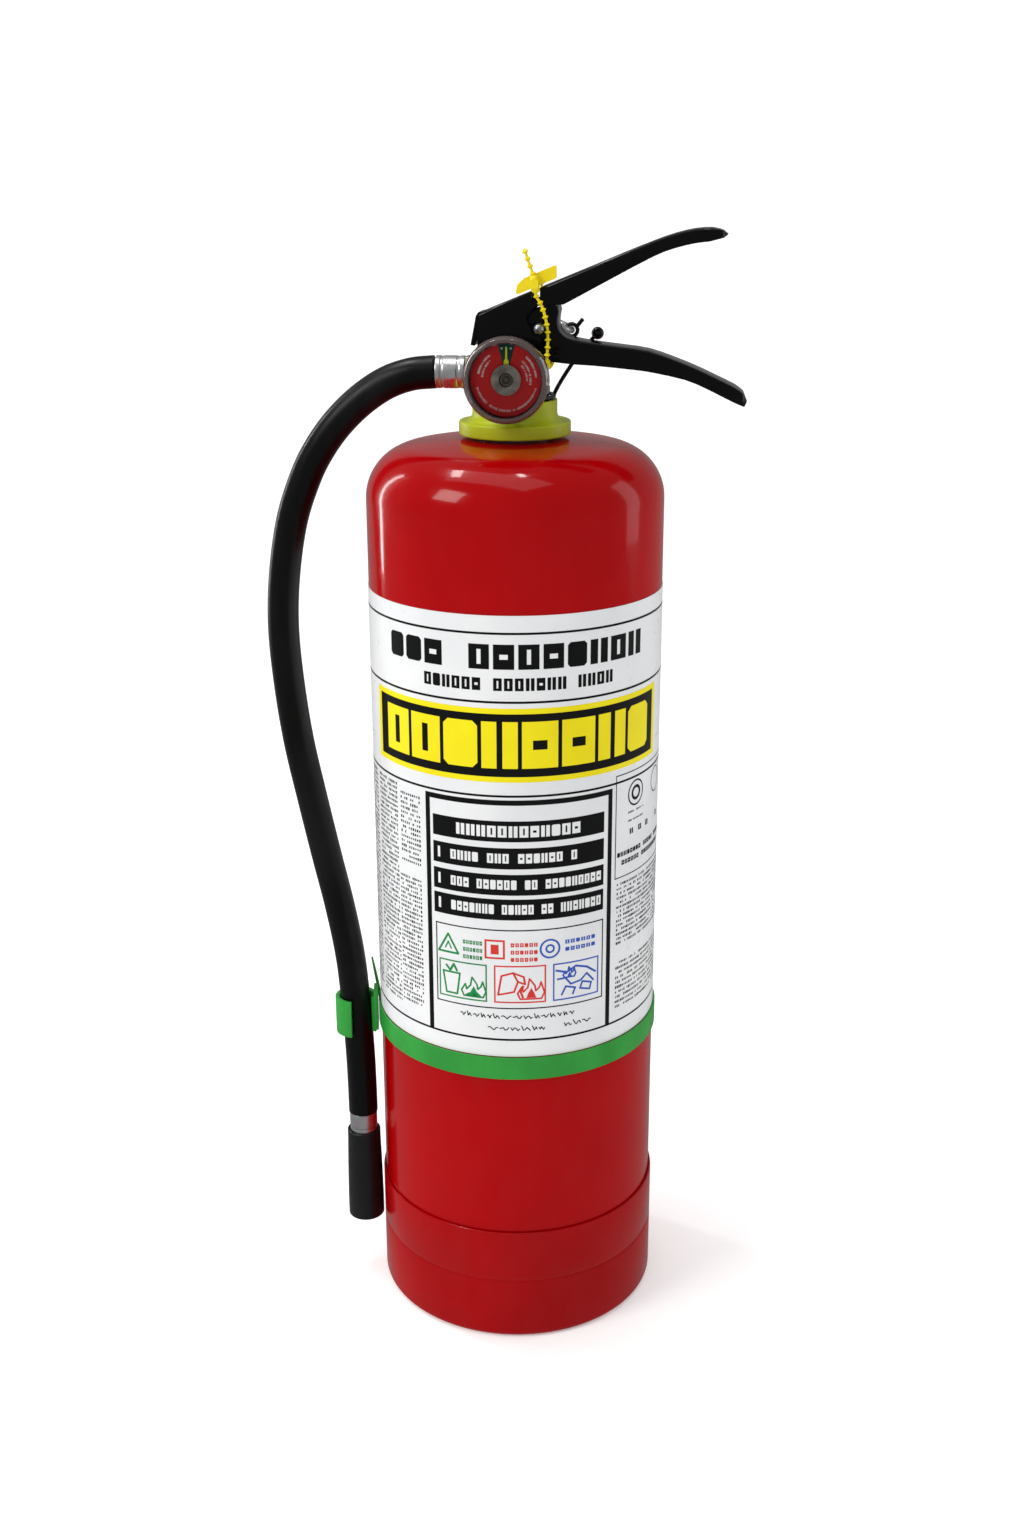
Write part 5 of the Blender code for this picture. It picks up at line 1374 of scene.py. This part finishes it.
    def build(self) -> None:
        """Builds the film, its artwork and its small print."""
        fit(self.sheet(), "root", "label_vinyl", "label_wrap")
        self.headings()
        self.instructions()
        self.classes()
        self.sides()
        fit(self.wrapped(), "root", "label_vinyl")
        tree = Repeats.print_rows()
        columns = ((-79, -62, 168, 275, 2.2), (-58.5, -46.5, 240, 272, 2.1), (-60, -46.5, 170, 232, 2.1),
                   (50, 95, 200, 229, 2.1), (50, 95, 168, 190, 2.1), (-100, -83, 168, 275, 2.2),
                   (57, 69, 258, 262, 1.6), (-155, -111, 170, 244, 2.4), (111, 155, 170, 244, 2.4))
        for index, (u0, u1, z0, z1, pitch) in enumerate(columns, 1):
            fit(self.small_print(tree, index, u0, u1, z0, z1, pitch), "root", "label_vinyl")


@dataclass
class Band:
    """The plastic band under the label, its pointed tail, and the clip that holds the hose."""

    inner: float = 66.8
    thick: float = 1.0
    low: float = 140.6
    high: float = 151.6

    def band(self) -> Object:
        """The band, turned, with the tail run on to it.

        Returns:
            The piece.
        """
        r0, r1 = self.inner, self.inner + self.thick
        outline = [(r0, self.low), (r1, self.low), (r1, self.high), (r0, self.high)]
        shape = Shape("clip_band_finished").turned(filleted(outline, 0.35), 192)
        at = math.radians(184.6)
        path = smoothed([Aim.UP.place(67.5, at, 147.6), Aim.UP.place(68.65, at, 155.6), Aim.UP.place(71.0, at, 169.3)],
                        8)
        shape.swept(path, lambda share: 0.8 - 0.35 * share ** 3, 14)
        return shape.done(GREEN_MOULDING)

    def build(self) -> None:
        """Builds the band and the clip."""
        fit(self.band(), "root", "green_plastic", "clip_band")
        fit(softened("hose_clip", GREEN_MOULDING, 0.4), "root", "green_plastic", "hose_clip")


# The valve and its levers --------------------------------------------------------------------------

@dataclass
class Head:
    """The collar, the valve and the two pressed levers."""

    collar_low: float = 424.6
    collar_high: float = 439.8
    stem_stroke: float = 3.17

    def collar(self) -> Object:
        """The loose lime collar round the neck: a flange that runs up in a fillet to its rim.

        Returns:
            The piece.
        """
        low, high = self.collar_low, self.collar_high
        fillet = [(22.3 + x, 434.2 + z) for x, z in arc(3.6, 180, 270, 10)]
        rim = filleted([(16.9, low), (24.7, low), (24.7, low + 6.0), (22.3, low + 6.0)], 0.9, closed=False)
        top = filleted([(18.7, 434.2), (18.7, high), (16.9, high), (16.9, low)], 0.5, closed=False)
        return Shape("service_collar_finished").turned(rim[1:-1] + fillet[::-1] + top[1:], 128).done(LIME_MOULDING)

    def rivet(self) -> Object:
        """The lever's rivet, with domed heads.

        Returns:
            The piece.
        """
        head = [(0.0, 12.0), (1.6, 11.92), (2.7, 11.65), (3.4, 11.25), (3.8, 10.8), (2.3, 10.8)]
        profile = head + [(r, -h) for r, h in head[::-1]]
        return Shape("lever_rivet_finished").turned(profile, 40, Aim.FRONT, (-11.5, 0, 460), closed=False).done(STEEL)

    def spring(self) -> None:
        """The closing spring, smoothed from its CAD node and given a mesh of its own."""
        piece = fit(softened("valve_spring", STEEL, 0.0), "root", "bright_steel", "valve_spring")
        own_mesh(piece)

    def build(self) -> None:
        """Builds the collar, the rivet and the pressed and machined pieces."""
        fit(self.collar(), "collar", "lime_plastic", "service_collar")
        fit(self.rivet(), "root", "bright_steel", "lever_rivet")
        for node, finish, edge, body, slot in (("squeeze_lever", BLACK_ENAMEL, 0.3, "lever", "black_enamel"),
                                               ("carry_handle", BLACK_ENAMEL, 0.3, "root", "black_enamel"),
                                               ("valve_body", NICKEL, 0.3, "root", "nickel_brass"),
                                               ("valve_stem", STEEL, 0.2, "stem", "bright_steel"),
                                               ("outlet_nipple", NICKEL, 0.3, "root", "bright_steel")):
            fit(softened(node, finish, edge), body, slot, node)
        self.spring()


# The pin, its tether and the seal ------------------------------------------------------------------

@dataclass
class SafetySet:
    """The pull pin with its ring, the tether that keeps it and the yellow tamper seal."""

    pin: tuple[float, float] = (11.9, 470.6)
    tie_y: float = 12.1
    step: float = 3.1

    def strand(self) -> list[Vector]:
        """The seal's line: down from the tail's tip, through the lock, round both levers and back to the lock."""
        y = self.tie_y
        side = [(10.4, 488.4), (10.6, 484.5), (12.8, 480.6), (14.7, 475.0), (15.6, 469.3), (15.7, 463.8), (15.4, 458.6)]
        near = [(x, -y, z) for x, z in side]
        far = [(x, y, z) for x, _, z in reversed(near)]
        low = [(15.2, -7.5, 454.6), (15.2, 7.5, 454.6)]
        tail = [(6.0, -y, 502.2), (8.2, -y, 496.0), (10.0, -y, 490.6)]
        over = [(10.4, 4.0, 489.6), (10.4, -y + 2.5, 489.2)]
        return smoothed([*tail, *near[1:], *low, *far, *over], 6)

    def seal(self) -> Object:
        """The tamper seal: beads on a strand.

        Returns:
            The piece.
        """
        points = self.strand()
        mesh = bpy.data.meshes.new("seal_tie_finished")
        mesh.from_pydata([p * MM + Vector((AXIS_X, 0, 0)) for p in points],
                         [(i, i + 1) for i in range(len(points) - 1)], [])
        return Repeats.run(Repeats.beads(), mesh, {
            "Step": self.step * MM, "Bead Radius": 1.45 * MM, "Bead Length": 2.9 * MM, "Strand Radius": 0.62 * MM,
            "Material": SEAL_MOULDING.material()}, 50)

    def lock(self) -> Object:
        """The seal's lock box with the flag that stands on the lever's top.

        Returns:
            The piece.
        """
        shape = Shape("seal_lock")
        box = filleted([(8.0, 487.1), (11.8, 487.1), (11.8, 490.9), (8.0, 490.9)], 1.1)
        shape.plate(box, -self.tie_y - 2.1, -self.tie_y + 2.9)
        shape.swept([(10.4, -self.tie_y, 486.9), (9.9, -self.tie_y, 491.1)], 1.9, 20)
        flag = filleted([(1.6, 484.2), (19.2, 491.3), (19.2, 496.9), (5.4, 491.3), (2.4, 488.6)], 1.0, steps=5)
        shape.plate(flag, -self.tie_y + 1.65, -self.tie_y + 2.35)
        return shape.done(SEAL_MOULDING)

    def build(self) -> None:
        """Builds the pin, the tether and the seal."""
        for node, finish, edge, body, slot in (("safety_pin", STEEL, 0.3, "pin", "bright_steel"),
                                               ("tether_eyelet", TETHER_MOULDING, 0.1, "pin", "black_plastic"),
                                               ("pin_tether", TETHER_MOULDING, 0.1, "root", "black_plastic")):
            fit(softened(node, finish, edge, 45), body, slot, node)
        fit(self.seal(), "lever", "yellow_plastic", "seal_tie")
        fit(self.lock(), "lever", "yellow_plastic")


# The gauge -----------------------------------------------------------------------------------------

@dataclass
class Gauge:
    """The pressure gauge: case, dial with its print, pointer, coil and clear cap."""

    at: Point = (0, 0, PORT_Z)
    dial_front: float = 28.8
    coil_radius: float = 6.38
    coil_pitch: float = 0.5
    coil_turns: int = 7

    def case(self) -> Object:
        """The pressed metal case.

        Returns:
            The piece.
        """
        outline = [(16.6, 30.8), (16.6, 24.7), (15.1, 23.2), (2.7, 23.2), (2.7, 24.0), (15.0, 24.0), (15.8, 25.5),
                   (15.8, 30.8)]
        return Shape("gauge_case_finished").turned(filleted(outline, 0.5), 96, Aim.FRONT, self.at).done(CASE_CHROME)

    def dial(self) -> Object:
        """The dial plate with its zone and two dots.

        Returns:
            The piece.
        """
        low, high = self.dial_front - 0.6, self.dial_front
        shape = Shape("gauge_dial_finished")
        shape.turned([(15.5, low), (15.5, high), (3.0, high), (3.0, low)], 96, Aim.FRONT, self.at)
        round_it = [math.radians(76 + 28 * i / 12) for i in range(13)]
        zone = [Aim.FRONT.place(14.9, a, high + 0.05) for a in round_it] \
            + [Aim.FRONT.place(6.0, a, high + 0.05) for a in reversed(round_it)]
        dots = [[Vector((x, 0, 12.9)) + Aim.FRONT.place(0.5, math.radians(30 * i), high + 0.08) for i in range(12)]
                for x in (-2.0, 1.9)]
        for spots, slot in ((zone, 1), (dots[0], 2), (dots[1], 2)):
            face = shape.bm.faces.new([shape.bm.verts.new(Vector(self.at) + p) for p in spots])
            face.normal_update()
            if face.normal.y > 0:
                face.normal_flip()
            face.material_index = slot
        return shape.done(DIAL_RED, DIAL_ZONE, DIAL_DOT, closed=False)

    def printing(self) -> list[Object]:
        """The dial's small print: arcs of marks on both sides and along the foot.

        Returns:
            The pieces.
        """
        tree = Repeats.dial_marks()
        pieces = []
        arcs = ((12.2, 126, 42, 22, 1.3), (10.4, 133, 40, 16, 1.2), (12.6, 6, 42, 22, 1.4), (10.2, -10, 62, 22, 1.3),
                (8.7, -2, 44, 14, 1.0), (12.9, 196, 148, 52, 1.5))
        for index, (radius, start, sweep, count, tall) in enumerate(arcs, 1):
            pieces.append(Repeats.run(tree, bpy.data.meshes.new(f"dial_print_{index}"), {
                "Count": count, "Radius": radius * MM, "Start": math.radians(start), "Sweep": math.radians(sweep),
                "Mark Width": 0.42 * MM, "Mark Height": tall * 0.75 * MM, "Gaps": 0.12,
                "Place": (AXIS_X, -(self.dial_front + 0.05) * MM, PORT_Z * MM), "Seed": index,
                "Material": DIAL_WHITE.material()}))
        return pieces

    def pointer(self) -> Object:
        """The pointer: a thin painted blade on a ring round the post.

        Returns:
            The piece.
        """
        shape = Shape("gauge_pointer_finished")
        shape.turned([(2.6, 29.1), (2.6, 29.5), (1.5, 29.5), (1.5, 29.1)], 48, Aim.FRONT, self.at)
        half = [(0.9, 2.0), (1.1, 7.2), (0.9, 8.1), (0.45, 8.7), (0.35, 13.6)]
        blade = [(-x, z) for x, z in half] + half[::-1]
        shape.plate([(x, PORT_Z + z) for x, z in filleted(blade, 0.4)], -29.48, -29.12)
        return shape.done(POINTER_PAINT)

    def coil(self) -> Object:
        """The coil that turns the pointer: flat strip wound in a spiral, seen edge on, on its post.

        Returns:
            The piece.
        """
        strip = [(0.0, 30.6), (0.06, 30.94), (0.12, 31.0), (0.3, 31.0), (0.36, 30.94), (0.42, 30.6)]
        top = [(self.coil_radius - self.coil_pitch * turn - r, h) for turn in range(self.coil_turns) for r, h in strip]
        profile = [(0.0, 25.7), (1.2, 25.7), (1.2, 29.8), (6.4, 29.8)] + top \
            + [(2.8, 30.5), (2.6, 30.1), (1.6, 30.0), (1.4, 30.6), (0.9, 30.85), (0.0, 30.9)]
        shape = Shape("bourdon_coil_finished").turned(profile, 96, Aim.FRONT, self.at, closed=False)
        # faces near the post take the darker copy of the strip: painted shade in the coil's middle
        for face in shape.bm.faces:
            middle = face.calc_center_median() - Vector(self.at)
            face.material_index = 1 if math.hypot(middle.x, middle.z) < 2.9 else 0
        return shape.done(COIL_METAL, COIL_DARK, crisp=30)

    def cap(self) -> Object:
        """The clear cap: a flat window in a deep rounded rim.

        Returns:
            The piece.
        """
        outline = [(0.0, 34.2), (16.3, 34.2), (17.2, 33.9), (18.2, 32.3), (18.2, 27.0), (16.9, 27.0), (16.9, 31.1),
                   (15.3, 31.1), (15.3, 32.9), (0.0, 32.9)]
        return Shape("gauge_lens_finished").turned(filleted(outline, 0.7, closed=False), 128, Aim.FRONT, self.at,
                                                   closed=False).done(CAP_CLEAR)

    def build(self) -> None:
        """Builds the gauge."""
        fit(self.case(), "root", "dark_chrome", "gauge_case")
        fit(self.dial(), "root", "dial_red", "gauge_dial")
        for piece in self.printing():
            fit(piece, "root", "dial_red")
        fit(self.pointer(), "pointer", "pointer_yellow", "gauge_pointer")
        fit(self.coil(), "root", "nickel_brass", "bourdon_coil")
        fit(self.cap(), "root", "clear_plastic", "gauge_lens")


# What stays as it is -------------------------------------------------------------------------------

@dataclass(frozen=True)
class Carried:
    """CAD nodes whose form is right and which only need their finish."""

    finishes: tuple[tuple[Finish, tuple[str, ...]], ...] = (
        (STEEL, ("neck_ring", "handle_rivet")),
        (NICKEL, ("gauge_stem",)),
        (SEAL_RUBBER, ("neck_seal", "seat_seal", "stem_seal", "gauge_washer", "outlet_washer")),
        (NOZZLE_MOULDING, ("siphon_adapter",)),
        (ALUMINIUM, ("siphon_tube",)),
        (POWDER, ("powder_charge",)),
    )

    def build(self) -> None:
        """Gives each its finish."""
        for finish, names in self.finishes:
            for name in names:
                slots = frame["nodes"][name].data.materials
                if not slots:
                    slots.append(None)
                for index in range(len(slots)):
                    slots[index] = finish.material()
                LOG.info("%s keeps its form, in %s", name, finish.name)


def main() -> None:
    """Builds the studio, then every sub-assembly."""
    logging.basicConfig(level=logging.INFO, format="%(name)s: %(message)s")
    for part in (Studio(), HoseLine(), Tank(), Label(), Band(), Head(), SafetySet(), Gauge(), Carried()):
        part.build()
        LOG.info("%s is built", type(part).__name__)


if __name__ == "__main__":
    main()
